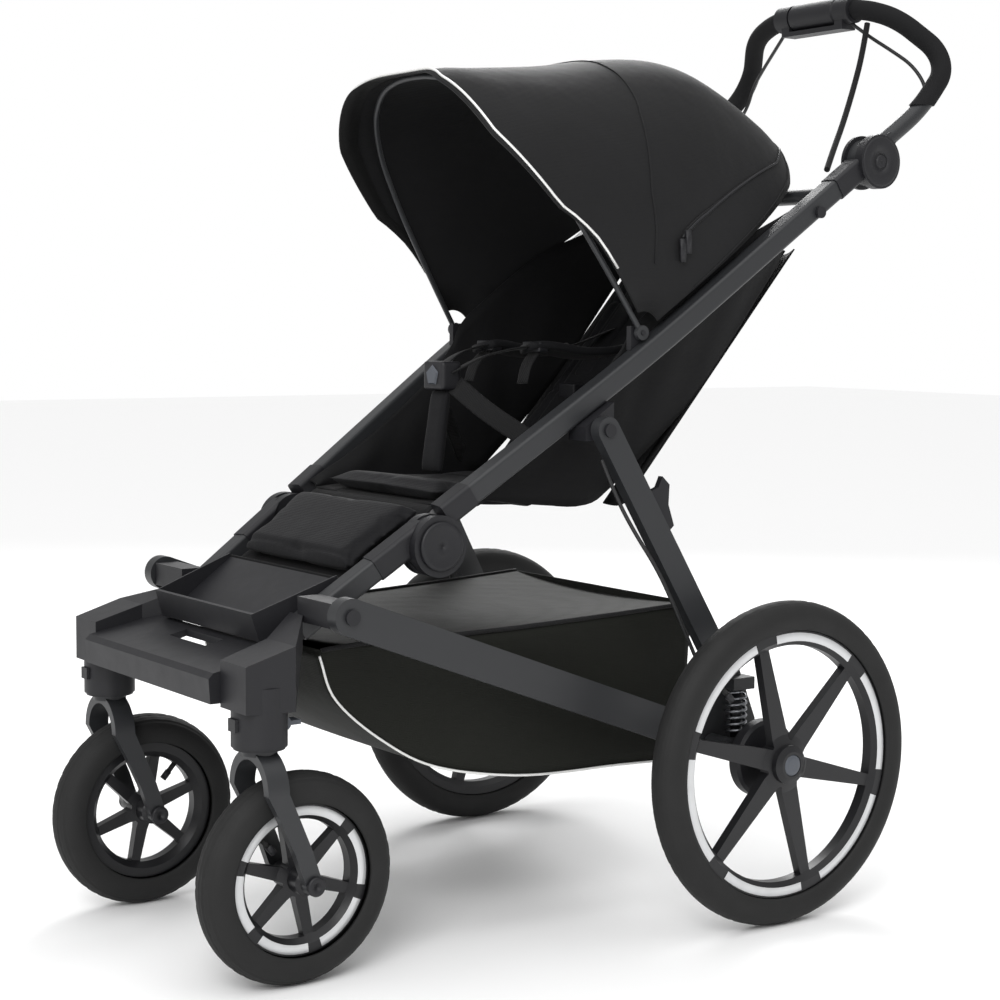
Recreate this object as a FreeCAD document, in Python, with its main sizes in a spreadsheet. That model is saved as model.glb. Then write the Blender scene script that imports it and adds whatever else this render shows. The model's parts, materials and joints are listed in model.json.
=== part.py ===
import FreeCAD, Part
import Sketcher
import math
import os
from FreeCAD import Placement, Rotation, Vector

# Jogging stroller.  +X is its left side, -Y its front, +Z up, in millimetres.
# Heights are above the floor.  Lengths in the side view are given from the rear
# wheel axle and moved by axle_y, so that the origin is under the outline's middle.

DOC = FreeCAD.newDocument("jogging_stroller")
SHEET = DOC.addObject("Spreadsheet::Sheet", "Sizes")

SIZES = [
    ("axle_y", 162.05, "rear axle line behind the middle of the outline"),
    # wheels
    ("rear_radius", 200.0, "outside radius of a rear tyre"),
    ("rear_section", 21.0, "radius of the rear tyre's section"),
    ("rear_track", 323.7, "rear wheel's middle plane from the centre line"),
    ("rear_rim_radius", 165.0, "rear rim under the tyre"),
    ("front_radius", 120.2, "outside radius of a front tyre"),
    ("front_section", 24.0, "radius of the front tyre's section"),
    ("front_track", 192.0, "front wheel's middle plane from the centre line"),
    ("front_rim_radius", 86.0, "front rim under the tyre"),
    ("front_axle_y", -606.0, "front wheel axle, from the rear axle"),
    ("caster_y", -650.4, "swivel axis of the front wheels"),
    ("hub_bore", 6.05, "bore of a rear wheel hub"),
    ("stub_radius", 6.0, "rear stub axle"),
    ("running_gap", 0.05, "radial gap of a running fit"),
    # main tube
    ("tube_width", 26.0, "side tube, across"),
    ("tube_height", 27.0, "side tube, in the side view"),
    ("tube_corner", 5.0, "outside corner of the side tube"),
    ("tube_wall", 2.0, "wall of the side tube"),
    ("tube_rise", 0.685, "rise of the side tube for each mm of length"),
    ("tube_axle_z", 782.1, "height of the tube's middle above the rear axle"),
    ("tube_x", 203.0, "tube's middle where the two sides run parallel"),
    ("tube_bend_y", -120.0, "where the sides start to close in"),
    ("tube_splay", 0.136, "closing in for each mm towards the front"),
    # fold hinge
    ("fold_y", -409.0, "fold hinge, from the rear axle"),
    ("fold_z", 476.0, "fold hinge height"),
    ("fold_radius", 36.0, "fold hinge disc"),
    ("fold_x", 167.0, "middle of the fold hinge disc"),
    ("pin_radius", 5.0, "fold hinge pin"),
    # handle hinge
    ("grip_hinge_y", 250.0, "handlebar hinge, from the rear axle"),
    ("grip_hinge_z", 945.0, "handlebar hinge height"),
    ("grip_hinge_radius", 35.0, "handlebar hinge housing"),
    ("grip_hub_radius", 30.0, "hub of the handlebar inside its housing"),
    ("bar_radius", 11.5, "handlebar tube"),
    ("foam_radius", 13.5, "foam grip"),
    ("crossbar_y", 346.0, "handlebar's crosswise stretch, from the rear axle"),
    ("crossbar_z", 1165.5, "handlebar's crosswise stretch height"),
    # rear legs
    ("leg_y", -205.0, "top pivot of a rear leg"),
    ("leg_z", 607.0, "top pivot height of a rear leg"),
    ("leg_top_x", 227.5, "rear leg's middle at its top"),
    ("leg_foot_x", 251.0, "rear leg's middle at its foot"),
    ("leg_foot_y", -22.0, "rear leg's foot"),
    ("leg_foot_z", 288.0, "rear leg's foot height"),
    ("leg_width", 16.0, "rear leg across"),
    ("leg_depth", 32.0, "rear leg in the side view"),
    ("arm_pivot_y", -48.0, "swing arm pivot"),
    ("arm_pivot_z", 218.0, "swing arm pivot height"),
    ("cross_tube_y", 12.0, "rear cross tube"),
    ("cross_tube_z", 226.0, "rear cross tube height"),
    ("cross_tube_radius", 11.0, "rear cross tube"),
    # side bars and basket
    ("bar_pivot_y", -560.0, "front pivot of a side bar"),
    ("bar_pivot_z", 412.0, "front pivot height of a side bar"),
    ("bar_x", 227.5, "side bar's middle"),
    ("bar_width", 18.0, "side bar across"),
    ("bar_depth", 42.0, "side bar in the side view"),
    ("bar_fall", 0.373, "fall of the side bar for each mm towards the rear"),
    ("bar_rear_y", -90.0, "rear end of a side bar"),
    ("basket_wall", 3.0, "basket fabric"),
    # seat and canopy
    ("seat_wall", 5.0, "seat fabric with its lining"),
    ("hood_y", -131.0, "canopy pivot"),
    ("hood_z", 722.0, "canopy pivot height"),
    ("hood_wall", 3.0, "canopy fabric"),
    ("back_y", -112.0, "recline hinge of the backrest"),
    ("back_z", 535.0, "recline hinge height"),
    ("travel", 3.0, "travel of a push button"),
]

for row, (alias, value, note) in enumerate(SIZES, start=1):
    SHEET.set(f"A{row}", alias)
    SHEET.set(f"B{row}", str(value))
    SHEET.set(f"C{row}", note)
    SHEET.setAlias(f"B{row}", alias)
DOC.recompute()
NAMES = {alias for alias, value, note in SIZES}
NODES = []
SIDES = (("left", 1), ("right", -1))


# ---------------------------------------------------------------- helpers

def mm(alias):
    """A driving dimension, read from the sheet."""
    return float(SHEET.get(alias))


def at(x, y, z):
    """A point whose length is given from the rear axle."""
    return Vector(x, y + mm("axle_y"), z)


def formula(text):
    """The same formula with every sheet name written as the sheet's cell."""
    words = []
    word = ""
    for letter in text + " ":
        if letter.isalnum() or letter == "_":
            word += letter
            continue
        words.append(f"Sizes.{word}" if word in NAMES else word)
        words.append(letter)
        word = ""
    return "".join(words).strip()


def bind(obj, prop, text):
    obj.setExpression(prop, formula(text))


def place(obj, x, y, z, rotation=Rotation()):
    """Bind a piece's position; y is measured from the rear axle."""
    obj.Placement = Placement(Vector(), rotation)
    bind(obj, "Placement.Base.x", x)
    bind(obj, "Placement.Base.y", f"{y} + axle_y")
    bind(obj, "Placement.Base.z", z)


def rod(name, radius, x_low, x_high, y, z, side=1):
    """A round rod along X, bound to the sheet."""
    obj = DOC.addObject("Part::Cylinder", name)
    bind(obj, "Radius", radius)
    bind(obj, "Height", f"({x_high}) - ({x_low})")
    start = x_low if side > 0 else f"-({x_high})"
    place(obj, start, y, z, Rotation(Vector(0, 1, 0), 90))
    return obj


def post(name, radius, x, y, z_low, z_high):
    """A round post along Z, bound to the sheet."""
    obj = DOC.addObject("Part::Cylinder", name)
    bind(obj, "Radius", radius)
    bind(obj, "Height", f"({z_high}) - ({z_low})")
    place(obj, x, y, z_low)
    return obj


def block(name, x_low, x_high, y_low, y_high, z_low, z_high, side=1):
    """A block, bound to the sheet."""
    obj = DOC.addObject("Part::Box", name)
    bind(obj, "Length", f"({x_high}) - ({x_low})")
    bind(obj, "Width", f"({y_high}) - ({y_low})")
    bind(obj, "Height", f"({z_high}) - ({z_low})")
    start = x_low if side > 0 else f"-({x_high})"
    place(obj, start, y_low, z_low)
    return obj


def fused(name, *parts):
    obj = DOC.addObject("Part::MultiFuse", name)
    obj.Shapes = list(parts)
    obj.Refine = True
    return obj


def cut(name, base, tool):
    obj = DOC.addObject("Part::Cut", name)
    obj.Base = base
    obj.Tool = tool
    return obj


def group(name, *parts):
    obj = DOC.addObject("Part::Compound", name)
    obj.Links = list(parts)
    return obj


def feature(name, shape, offset=Vector()):
    obj = DOC.addObject("Part::Feature", name)
    obj.Shape = shape
    obj.Placement = Placement(offset, Rotation())
    return obj


def node(obj, label):
    """Register a finished piece under the name of its file."""
    obj.Label = label
    NODES.append(obj)
    return obj


def mirrored(shape):
    return shape.mirror(Vector(), Vector(1, 0, 0))


def both(shape):
    """The piece and its mirror image, as two solids."""
    return Part.makeCompound([shape, mirrored(shape)])


def handed(shape, side):
    return shape if side > 0 else mirrored(shape)


def prism(points, x_low, x_high):
    """A side-view outline (y from the rear axle, z) pulled along X."""
    corners = [at(x_low, y, z) for y, z in points]
    face = Part.Face(Part.makePolygon(corners + corners[:1]))
    return face.extrude(Vector(x_high - x_low, 0, 0))


def plan(points, z_low, z_high):
    """A plan outline (half width, y) on both sides, pulled along Z."""
    right = [at(x, y, z_low) for x, y in points]
    left = [at(-x, y, z_low) for x, y in reversed(points)]
    face = Part.Face(Part.makePolygon(right + left + right[:1]))
    return face.extrude(Vector(0, 0, z_high - z_low))


def cylinder_x(radius, x_low, x_high, y, z):
    return Part.makeCylinder(radius, x_high - x_low, at(x_low, y, z), Vector(1, 0, 0))


def cylinder_z(radius, x, y, z_low, z_high):
    return Part.makeCylinder(radius, z_high - z_low, at(x, y, z_low), Vector(0, 0, 1))


def box(x_low, x_high, y_low, y_high, z_low, z_high):
    return Part.makeBox(x_high - x_low, y_high - y_low, z_high - z_low, at(x_low, y_low, z_low))


def link(first, second, radius, x_low, x_high):
    """A flat link with two round ends, given by its pivots (y, z)."""
    along = Vector(0, second[0] - first[0], second[1] - first[1])
    across = Vector(0, -along.z, along.y) * (radius / along.Length)
    a = at(x_low, *first)
    b = at(x_low, *second)
    corners = [a + across, b + across, b - across, a - across, a + across]
    web = Part.Face(Part.makePolygon(corners)).extrude(Vector(x_high - x_low, 0, 0))
    ends = [cylinder_x(radius, x_low, x_high, *end) for end in (first, second)]
    return web.fuse(ends).removeSplitter()


def unit(vector):
    return vector * (1 / vector.Length)


def rounded_path(points, share=0.45):
    """Straight runs joined by tangent arcs; also gives the arcs' radii."""
    edges = []
    radii = []
    start = points[0]
    for before, corner, after in zip(points, points[1:], points[2:]):
        back = unit(before - corner)
        onward = unit(after - corner)
        half = back.getAngle(onward) / 2
        reach = share * min((before - corner).Length, (after - corner).Length)
        radius = reach * math.tan(half)
        middle = corner + unit(back + onward) * (reach / math.cos(half) - radius)
        edges.append(Part.LineSegment(start, corner + back * reach).toShape())
        edges.append(Part.Arc(corner + back * reach, middle, corner + onward * reach).toShape())
        start = corner + onward * reach
        radii.append(radius)
    edges.append(Part.LineSegment(start, points[-1]).toShape())
    return Part.Wire(edges), radii


def swept_round(points, radius, report=None):
    """A round bar along a rounded path."""
    path, radii = rounded_path(points)
    section = Part.Wire(Part.makeCircle(radius, points[0], points[1] - points[0]))
    solid = path.makePipeShell([section], True, False)
    if report:
        smallest = min(radii)
        share = solid.Volume / (math.pi * radius ** 2 * path.Length)
        print(f"{report}: length {path.Length:.1f}, smallest arc {smallest:.1f}, volume share {share:.4f}")
    return solid


def sketch_on(body, plane_role, name):
    plane = [f for f in body.Origin.OriginFeatures if f.Role == plane_role][0]
    sketch = body.newObject("Sketcher::SketchObject", name)
    sketch.AttachmentSupport = [(plane, "")]
    sketch.MapMode = "FlatFace"
    return sketch


def closed_outline(sketch, points):
    """Straight lines through the points, joined end to end."""
    count = len(points)
    first = sketch.GeometryCount
    for index in range(count):
        start = Vector(*points[index], 0)
        end = Vector(*points[(index + 1) % count], 0)
        sketch.addGeometry(Part.LineSegment(start, end))
    for index in range(count):
        following = first + (index + 1) % count
        sketch.addConstraint(Sketcher.Constraint("Coincident", first + index, 2, following, 1))


def turned_body(name, points):
    """A PartDesign body turned about X from an (x, radius) outline."""
    body = DOC.addObject("PartDesign::Body", name)
    sketch = sketch_on(body, "XY_Plane", f"{name}_profile")
    closed_outline(sketch, points)
    turned = body.newObject("PartDesign::Revolution", f"{name}_turned")
    turned.Profile = sketch
    turned.ReferenceAxis = (sketch, ["H_Axis"])
    turned.Angle = 360
    body.Tip = turned
    return body


def place_wheel(body, side, track, y, z):
    """Stand a turned body on its axle; the right one is turned about Z."""
    turn = Rotation() if side > 0 else Rotation(Vector(0, 0, 1), 180)
    place(body, track if side > 0 else f"-({track})", y, z, turn)


# ---------------------------------------------------------------- side tubes

RISE = mm("tube_rise")
TUBE_UP = unit(Vector(0, -RISE, 1))


def tube_point(y, lift=0.0):
    """The middle of the left side tube; lift is square to it in the side view."""
    splay = mm("tube_splay") * min(0, y - mm("tube_bend_y"))
    point = at(mm("tube_x") + splay, y, mm("tube_axle_z") + RISE * y)
    return point + TUBE_UP * lift


def tube_section(centre, along, width, height, corner):
    """A rounded rectangle square to the tube."""
    up = TUBE_UP
    across = unit(along.cross(up))
    w = width / 2
    h = height / 2
    c = corner
    diagonal = c * (1 - math.sqrt(0.5))

    def spot(a, b):
        return centre + across * a + up * b

    edges = []
    for a, b, flip in ((1, 1, False), (-1, 1, True), (-1, -1, False), (1, -1, True)):
        ends = [spot(a * w, b * (h - c)), spot(a * (w - c), b * h)]
        if flip:
            ends.reverse()
        middle = spot(a * (w - diagonal), b * (h - diagonal))
        edges.append(Part.Arc(ends[0], middle, ends[1]).toShape())
    joined = []
    for index, edge in enumerate(edges):
        joined.append(edge)
        following = edges[(index + 1) % 4]
        joined.append(Part.LineSegment(edge.Vertexes[1].Point, following.Vertexes[0].Point).toShape())
    return Part.Wire(joined)


def tube_solid(y_low, y_high, width, height, corner):
    """A solid bar along the side tube's line between two lengths."""
    bend = mm("tube_bend_y")
    points = [tube_point(y_low)]
    if y_low < bend < y_high:
        points.append(tube_point(bend))
    points.append(tube_point(y_high))
    path, radii = rounded_path(points, 0.3)
    section = tube_section(points[0], points[1] - points[0], width, height, corner)
    sweep = Part.BRepOffsetAPI.MakePipeShell(path)
    sweep.setBiNormalMode(TUBE_UP)
    sweep.add(section)
    sweep.build()
    sweep.makeSolid()
    return sweep.shape()


def side_tube(y_low, y_high):
    """The hollow side tube."""
    wall = mm("tube_wall")
    width = mm("tube_width")
    height = mm("tube_height")
    corner = mm("tube_corner")
    outside = tube_solid(y_low, y_high, width, height, corner)
    inside = tube_solid(y_low - 1, y_high + 1, width - 2 * wall, height - 2 * wall, corner - wall)
    return outside.cut(inside)


def tube_plug(y_low, y_high):
    """A tongue that fits inside the side tube."""
    slack = 0.4
    width = mm("tube_width") - 2 * mm("tube_wall") - slack
    height = mm("tube_height") - 2 * mm("tube_wall") - slack
    return tube_solid(y_low, y_high, width, height, 2.8)


FOLD = (mm("fold_y"), mm("fold_z"))
FOLD_R = mm("fold_radius")
FOLD_LOW = mm("fold_x") - 17
FOLD_HIGH = mm("fold_x") + 17
UPPER_FRONT_Y = -362.0
UPPER_REAR_Y = 182.0
LOWER_REAR_Y = -482.0
LOWER_FRONT_Y = -575.0
CASTING_WIDTH = 29.0
CASTING_HEIGHT = 29.5

STUD = (147, 876)
STUD_R = 7.5


def upper_tube():
    """The long upper tube, drilled on its outer face for the snap stud."""
    return side_tube(UPPER_FRONT_Y, UPPER_REAR_Y).cut(cylinder_x(STUD_R + 0.1, 212, 217, *STUD))


node(feature("tubes_high", both(upper_tube())), "upper_tubes")


def fold_knuckle():
    """Root half of the fold hinge: two cheeks and a neck into the upper tube."""
    neck = tube_solid(FOLD[0] + 12, UPPER_FRONT_Y, CASTING_WIDTH, CASTING_HEIGHT, 5.5)
    disc = cylinder_x(FOLD_R, FOLD_LOW, FOLD_HIGH, *FOLD)
    slot = cylinder_x(FOLD_R + 0.6, FOLD_LOW + 12, FOLD_HIGH - 12, *FOLD)
    hole = cylinder_x(mm("pin_radius") + mm("running_gap"), FOLD_LOW - 9, FOLD_HIGH + 9, *FOLD)
    casting = neck.fuse([disc, tube_plug(UPPER_FRONT_Y - 2, UPPER_FRONT_Y + 30)])
    return casting.cut([slot, hole])


def fold_socket():
    """Front half of the fold hinge: a tongue in the slot and a socket for the lower tube."""
    shell = tube_solid(LOWER_REAR_Y, FOLD[0] - 11, CASTING_WIDTH, CASTING_HEIGHT, 5.5)
    lane = box(FOLD_LOW + 12.5, FOLD_HIGH - 12.5, FOLD[0] - 120, FOLD[0] + 60, 300, 600)
    tongue = cylinder_x(FOLD_R - 2, FOLD_LOW + 12.5, FOLD_HIGH - 12.5, *FOLD)
    bowl = cylinder_x(FOLD_R + 0.4, FOLD_LOW - 20, FOLD_HIGH + 20, *FOLD)
    hole = cylinder_x(mm("pin_radius") + mm("running_gap"), FOLD_LOW - 9, FOLD_HIGH + 9, *FOLD)
    body = shell.cut(bowl).fuse([shell.common(lane), tongue, tube_plug(LOWER_REAR_Y - 30, LOWER_REAR_Y + 2)])
    return body.cut(hole)


node(feature("knuckles", both(fold_knuckle())), "fold_knuckles")


def fold_pins():
    pins = []
    for word, side in SIDES:
        shaft = rod(f"fold_shaft_{word}", "pin_radius", "fold_x - 17.3", "fold_x + 17.5", "fold_y", "fold_z", side)
        cap = rod(f"fold_cap_{word}", "fold_radius - 16", "fold_x + 17.3", "fold_x + 20", "fold_y", "fold_z", side)
        head = rod(f"fold_head_{word}", "9", "fold_x - 20", "fold_x - 17.3", "fold_y", "fold_z", side)
        pins.append(fused(f"fold_pin_{word}", shaft, cap, head))
    return group("pins", *pins)


node(fold_pins(), "fold_hinge_pins")


# ---------------------------------------------------------------- handlebar hinge

HINGE = (mm("grip_hinge_y"), mm("grip_hinge_z"))
HINGE_R = mm("grip_hinge_radius")


def hinge_housing():
    """Two cheeks that hold the handlebar's hub, with a neck into the upper tube."""
    neck = tube_solid(UPPER_REAR_Y, HINGE[0] - 15, CASTING_WIDTH, CASTING_HEIGHT, 5.5)
    cheeks = cylinder_x(HINGE_R, 184, 222, *HINGE)
    slot = cylinder_x(HINGE_R + 0.6, 188.7, 209.3, *HINGE)
    button_pocket = cylinder_x(9.3, 212.7, 223, *HINGE)
    pivot_bore = cylinder_x(6.05, 183, 212.8, *HINGE)
    casting = neck.fuse([cheeks, tube_plug(UPPER_REAR_Y - 30, UPPER_REAR_Y + 2)])
    return casting.cut([slot, button_pocket, pivot_bore])


node(feature("hinge_housings", both(hinge_housing())), "handle_hinge_housings")


def handle_points():
    """Control points of the handlebar from the left hinge to the right one."""
    left = [
        at(198, 276, 972),
        at(207, 336, 1018),
        at(198, 402, 1088),
        at(141, 357, 1147),
        at(84, mm("crossbar_y"), mm("crossbar_z")),
    ]
    right = [Vector(-p.x, p.y, p.z) for p in reversed(left)]
    return left + right


def handle_tube():
    """Hubs, flat arms and one bent tube."""
    bar = swept_round(handle_points(), mm("bar_radius"), "handlebar")
    bore = swept_round(handle_points(), mm("bar_radius") - 2)
    arm = link(HINGE, (281, 976), 9.6, 189.2, 208.8)
    hub = cylinder_x(mm("grip_hub_radius"), 189.2, 208.8, *HINGE)
    pivot = cylinder_x(6, 184.2, 212, *HINGE)
    end = hub.fuse([arm, pivot])
    return bar.cut(bore).fuse([end, mirrored(end)])


def foam_grips():
    """Foam round the bends, stopping at the brake housing."""
    path_points = handle_points()
    outer = swept_round(path_points, mm("foam_radius"))
    core = swept_round(path_points, mm("bar_radius") + 0.1)
    middle = box(-74, 74, 200, 500, 900, 1300)
    low = box(-300, 300, 200, 500, 900, 1024)
    return outer.cut([core, middle, low])


node(feature("handlebar", handle_tube()), "handle_tube")
node(feature("foam", foam_grips()), "handle_grips")


def brake_housing():
    """A saddle under the crossbar with a ring at each end."""
    y = mm("crossbar_y")
    z = mm("crossbar_z")
    bar = mm("bar_radius") + 0.1
    ring = cylinder_x(18.5, 45, 72, y, z).cut(cylinder_x(bar, 44, 73, y, z))
    saddle = box(-46, 46, y - 13, y + 13, z - 26, z - 19.5)
    foot = box(45, 60, y - 13, y + 13, z - 26, z - 12).cut(cylinder_x(bar, 44, 73, y, z))
    return saddle.fuse([ring, foot, mirrored(ring), mirrored(foot)]).removeSplitter()


node(feature("console", brake_housing()), "brake_housing")

twist_outline = [(-44, 12.6), (44, 12.6), (44, 17), (41, 18.6), (-41, 18.6), (-44, 17)]
twist = turned_body("twist_grip", twist_outline)
place(twist, "0", "crossbar_y", "crossbar_z")
node(twist, "brake_twist_grip")

for word, side in SIDES:
    plunger = turned_body(f"plunger_{word}", [(0, 0), (6.5, 0), (7.5, 2), (7.5, 7.5), (6, 9), (0, 9)])
    place_wheel(plunger, side, "216", "grip_hinge_y", "grip_hinge_z")
    node(plunger, f"handle_button_{word}")


# ---------------------------------------------------------------- frame details

def back_bar():
    """Cross tube behind the backrest, from tube to tube."""
    return rod("back_bar", "cross_tube_radius - 1", "-(tube_x - tube_width / 2)", "tube_x - tube_width / 2",
               "170", "tube_axle_z + tube_rise * 170")


node(back_bar(), "back_cross_tube")

LEG = (mm("leg_y"), mm("leg_z"))
HOOD = (mm("hood_y"), mm("hood_z"))


def frame_brackets():
    """Leg pivots under the tubes, canopy pivots on top, and the strap studs."""
    under = mm("tube_axle_z") - mm("tube_height") / 2 * math.sqrt(1 + RISE ** 2) - 0.3
    leg_block = prism([(-226, 594), (-184, 594), (-184, under - RISE * 184), (-226, under - RISE * 226)], 184, 217)
    leg_block = leg_block.cut(cylinder_x(4.05, 180, 240, *LEG))
    leg_pin = cylinder_x(4, 184, 237.5, *LEG).fuse(cylinder_x(8, 236, 239, *LEG))
    over = mm("tube_axle_z") + mm("tube_height") / 2 * math.sqrt(1 + RISE ** 2) + 0.3
    low = HOOD[0] - 12
    high = HOOD[0] + 12
    hood_block = prism([(low, over + RISE * low), (high, over + RISE * high), (high, HOOD[1] + 8),
                        (low, HOOD[1] + 8)], 188, 196.5)
    hood_pin = cylinder_x(3, 188, 206.5, *HOOD)
    stud = cylinder_x(STUD_R, 214.2, 221, *STUD)
    parts = [leg_block.fuse(leg_pin), hood_block.fuse(hood_pin), stud]
    return Part.makeCompound(parts + [mirrored(part) for part in parts])


node(feature("brackets", frame_brackets()), "frame_brackets")


# ---------------------------------------------------------------- seat

def seat_shell():
    """Fabric tub between the side tubes: floor and side walls, open behind."""
    outline = [(-392, 520), (-324, 521), (-273, 515), (-212, 506), (-155, 509), (-118, 530), (-8, 637), (41, 713),
               (128, 808), (158, 872), (60, 806), (-120, 690), (-330, 546)]
    widths = [(142, -392), (142, -230), (172, -60), (181, 160)]
    wall = mm("seat_wall")
    outer = prism(outline, -200, 200).common(plan(widths, 450, 950))
    floor = [(-400, 526), (-324, 527), (-273, 521), (-212, 512), (-157, 515), (-121, 536), (-11, 643), (38, 719),
             (124, 813), (170, 870), (170, 960), (-400, 960)]
    narrower = [(x - wall, y) for x, y in widths]
    narrower[0] = (narrower[0][0], -401)
    narrower[-1] = (narrower[-1][0], 171)
    inner = prism(floor, -200, 200).common(plan(narrower, 450, 960))
    opening = prism([(-108, 490), (-128, 545), (250, 980), (250, 700)], -(142 - wall), 142 - wall)
    return outer.cut([inner, opening])


node(feature("tub", seat_shell()), "seat_shell")


def seat_cushion():
    """Flat pad on the seat floor."""
    outline = [(-380, 527), (-324, 528), (-273, 522), (-212, 513), (-160, 516), (-138, 530), (-150, 536),
               (-212, 530), (-300, 540), (-380, 541)]
    return prism(outline, -132, 132)


node(feature("cushion", seat_cushion()), "seat_cushion")

BACK = (mm("back_y"), mm("back_z"))
BACK_ANGLE = 49.0
BACK_UP = Vector(0, math.cos(math.radians(BACK_ANGLE)), math.sin(math.radians(BACK_ANGLE)))
BACK_OUT = Vector(0, -BACK_UP.z, BACK_UP.y)


def back_slab(low, high, near, far, x_low, x_high):
    """A slab in the backrest's own directions: up it and out of its face."""
    base = at(x_low, *BACK)
    corners = [base + BACK_UP * a + BACK_OUT * b for a, b in ((low, near), (high, near), (high, far), (low, far))]
    return Part.Face(Part.makePolygon(corners + corners[:1])).extrude(Vector(x_high - x_low, 0, 0))


def backrest():
    """Padded board with its fabric back."""
    board = back_slab(14, 400, -14, 10, -134, 134)
    return board.removeSplitter()


node(feature("back_pad", backrest()), "backrest")


def shoulder_straps():
    strap = back_slab(120, 330, 10.4, 17, 38, 72)
    return both(strap)


node(feature("straps", shoulder_straps()), "shoulder_straps")


def harness_lower():
    """Crotch strap with its pad, and the waist straps on the seat floor."""
    pad = prism([(-306, 545), (-296, 545), (-281, 648), (-291, 648)], -19, 19)
    tail = prism([(-305, 542), (-297, 542), (-296, 546), (-306, 546)], -12, 12)
    waist = prism([(-250, 541), (-212, 534), (-212, 540), (-250, 547)], 40, 128)
    return Part.makeCompound([pad.fuse(tail), waist, mirrored(waist)])


node(feature("lap_harness", harness_lower()), "harness_lower")


def buckle():
    """Buckle shell with a pocket for its push button."""
    shell = prism([(-300, 648.4), (-272, 648.4), (-272, 684), (-300, 684)], -22, 22)
    pocket = prism([(-301, 657), (-291, 657), (-291, 677), (-301, 677)], -11, 11)
    return shell.cut(pocket)


node(feature("buckle_shell", buckle()), "buckle")
push = block("push", "-10.6", "10.6", "-302", "-294.5", "657.4", "676.6")
node(push, "buckle_button")


# ---------------------------------------------------------------- canopy

def hood_point(x, radius, degrees):
    """A point of the canopy given round its pivot line."""
    angle = math.radians(degrees)
    return at(x, HOOD[0] + radius * math.cos(angle), HOOD[1] + radius * math.sin(angle))


HOOD_FOOT = 30.0


def arch_point(degrees, crown, width, turn):
    """A point of the arch at one angle; turn runs from 0 on the left to pi on the right."""
    across = math.cos(turn)
    x = width * math.copysign(abs(across) ** 0.8, across)
    return hood_point(x, HOOD_FOOT + (crown - HOOD_FOOT) * abs(math.sin(turn)) ** 0.62, degrees)


def hood_section(degrees, crown, width):
    """Closed section of the fabric at one angle: outer arch, inner arch and a short foot on each side."""
    steps = 12
    wall = mm("hood_wall")
    turns = [math.pi * index / steps for index in range(steps + 1)]
    outer = [arch_point(degrees, crown, width, turn) for turn in turns]
    inner = [arch_point(degrees, crown - wall, width - wall, turn) for turn in reversed(turns)]
    outer_curve = Part.BSplineCurve()
    outer_curve.interpolate(outer)
    inner_curve = Part.BSplineCurve()
    inner_curve.interpolate(inner)
    right_foot = Part.LineSegment(outer[-1], inner[0]).toShape()
    left_foot = Part.LineSegment(inner[-1], outer[0]).toShape()
    return Part.Wire([outer_curve.toShape(), right_foot, inner_curve.toShape(), left_foot])


def hood_gore(stations):
    """Fabric between two bows, open at both ends and below."""
    return Part.makeLoft([hood_section(*station) for station in stations], True, False)


HOOD_FRONT = [(126, 404, 208), (110, 352, 207), (96, 342, 206), (84, 354, 206)]
HOOD_REAR = [(83.6, 355, 206), (68, 386, 206), (52, 398, 206), (40, 420, 206)]
node(feature("hood_front", hood_gore(HOOD_FRONT)), "canopy_front")
node(feature("hood_rear", hood_gore(HOOD_REAR)), "canopy_rear")


def canopy_bow():
    """Bent rod just inside the front edge, with a flat eye on each pivot."""
    angle = 123
    left = [hood_point(201, 6, angle), hood_point(196, 70, angle)]
    left += [arch_point(angle, 368, 190, math.radians(turn)) for turn in (16, 34, 52, 70, 84)]
    right = [Vector(-p.x, p.y, p.z) for p in reversed(left)]
    rod_shape = swept_round(left + right, 3.5, "canopy bow")
    eye = cylinder_x(9, 198.5, 205, *HOOD)
    hole = cylinder_x(3.05, 195, 210, *HOOD)
    return rod_shape.fuse([eye, mirrored(eye)]).cut([hole, mirrored(hole)])


node(feature("bow", canopy_bow()), "canopy_bow")


# ---------------------------------------------------------------- front frame

node(feature("tubes_low", both(side_tube(LOWER_FRONT_Y, LOWER_REAR_Y))), "lower_tubes")
node(feature("sockets", both(fold_socket())), "fold_sockets")

CASTER_X = mm("front_track")
CASTER_Y = mm("caster_y")
HOUSING_LOW = 270.6
LOCK_BACK = 26.0
LOCK_Z = 296.0


def rectangle_x_z(x_low, x_high, y, z_low, z_high):
    corners = [at(x_low, y, z_low), at(x_high, y, z_low), at(x_high, y, z_high), at(x_low, y, z_high)]
    return Part.makePolygon(corners + corners[:1])


def lower_tube_outside():
    return tube_solid(LOWER_FRONT_Y, LOWER_REAR_Y, mm("tube_width"), mm("tube_height"), mm("tube_corner"))


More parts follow.
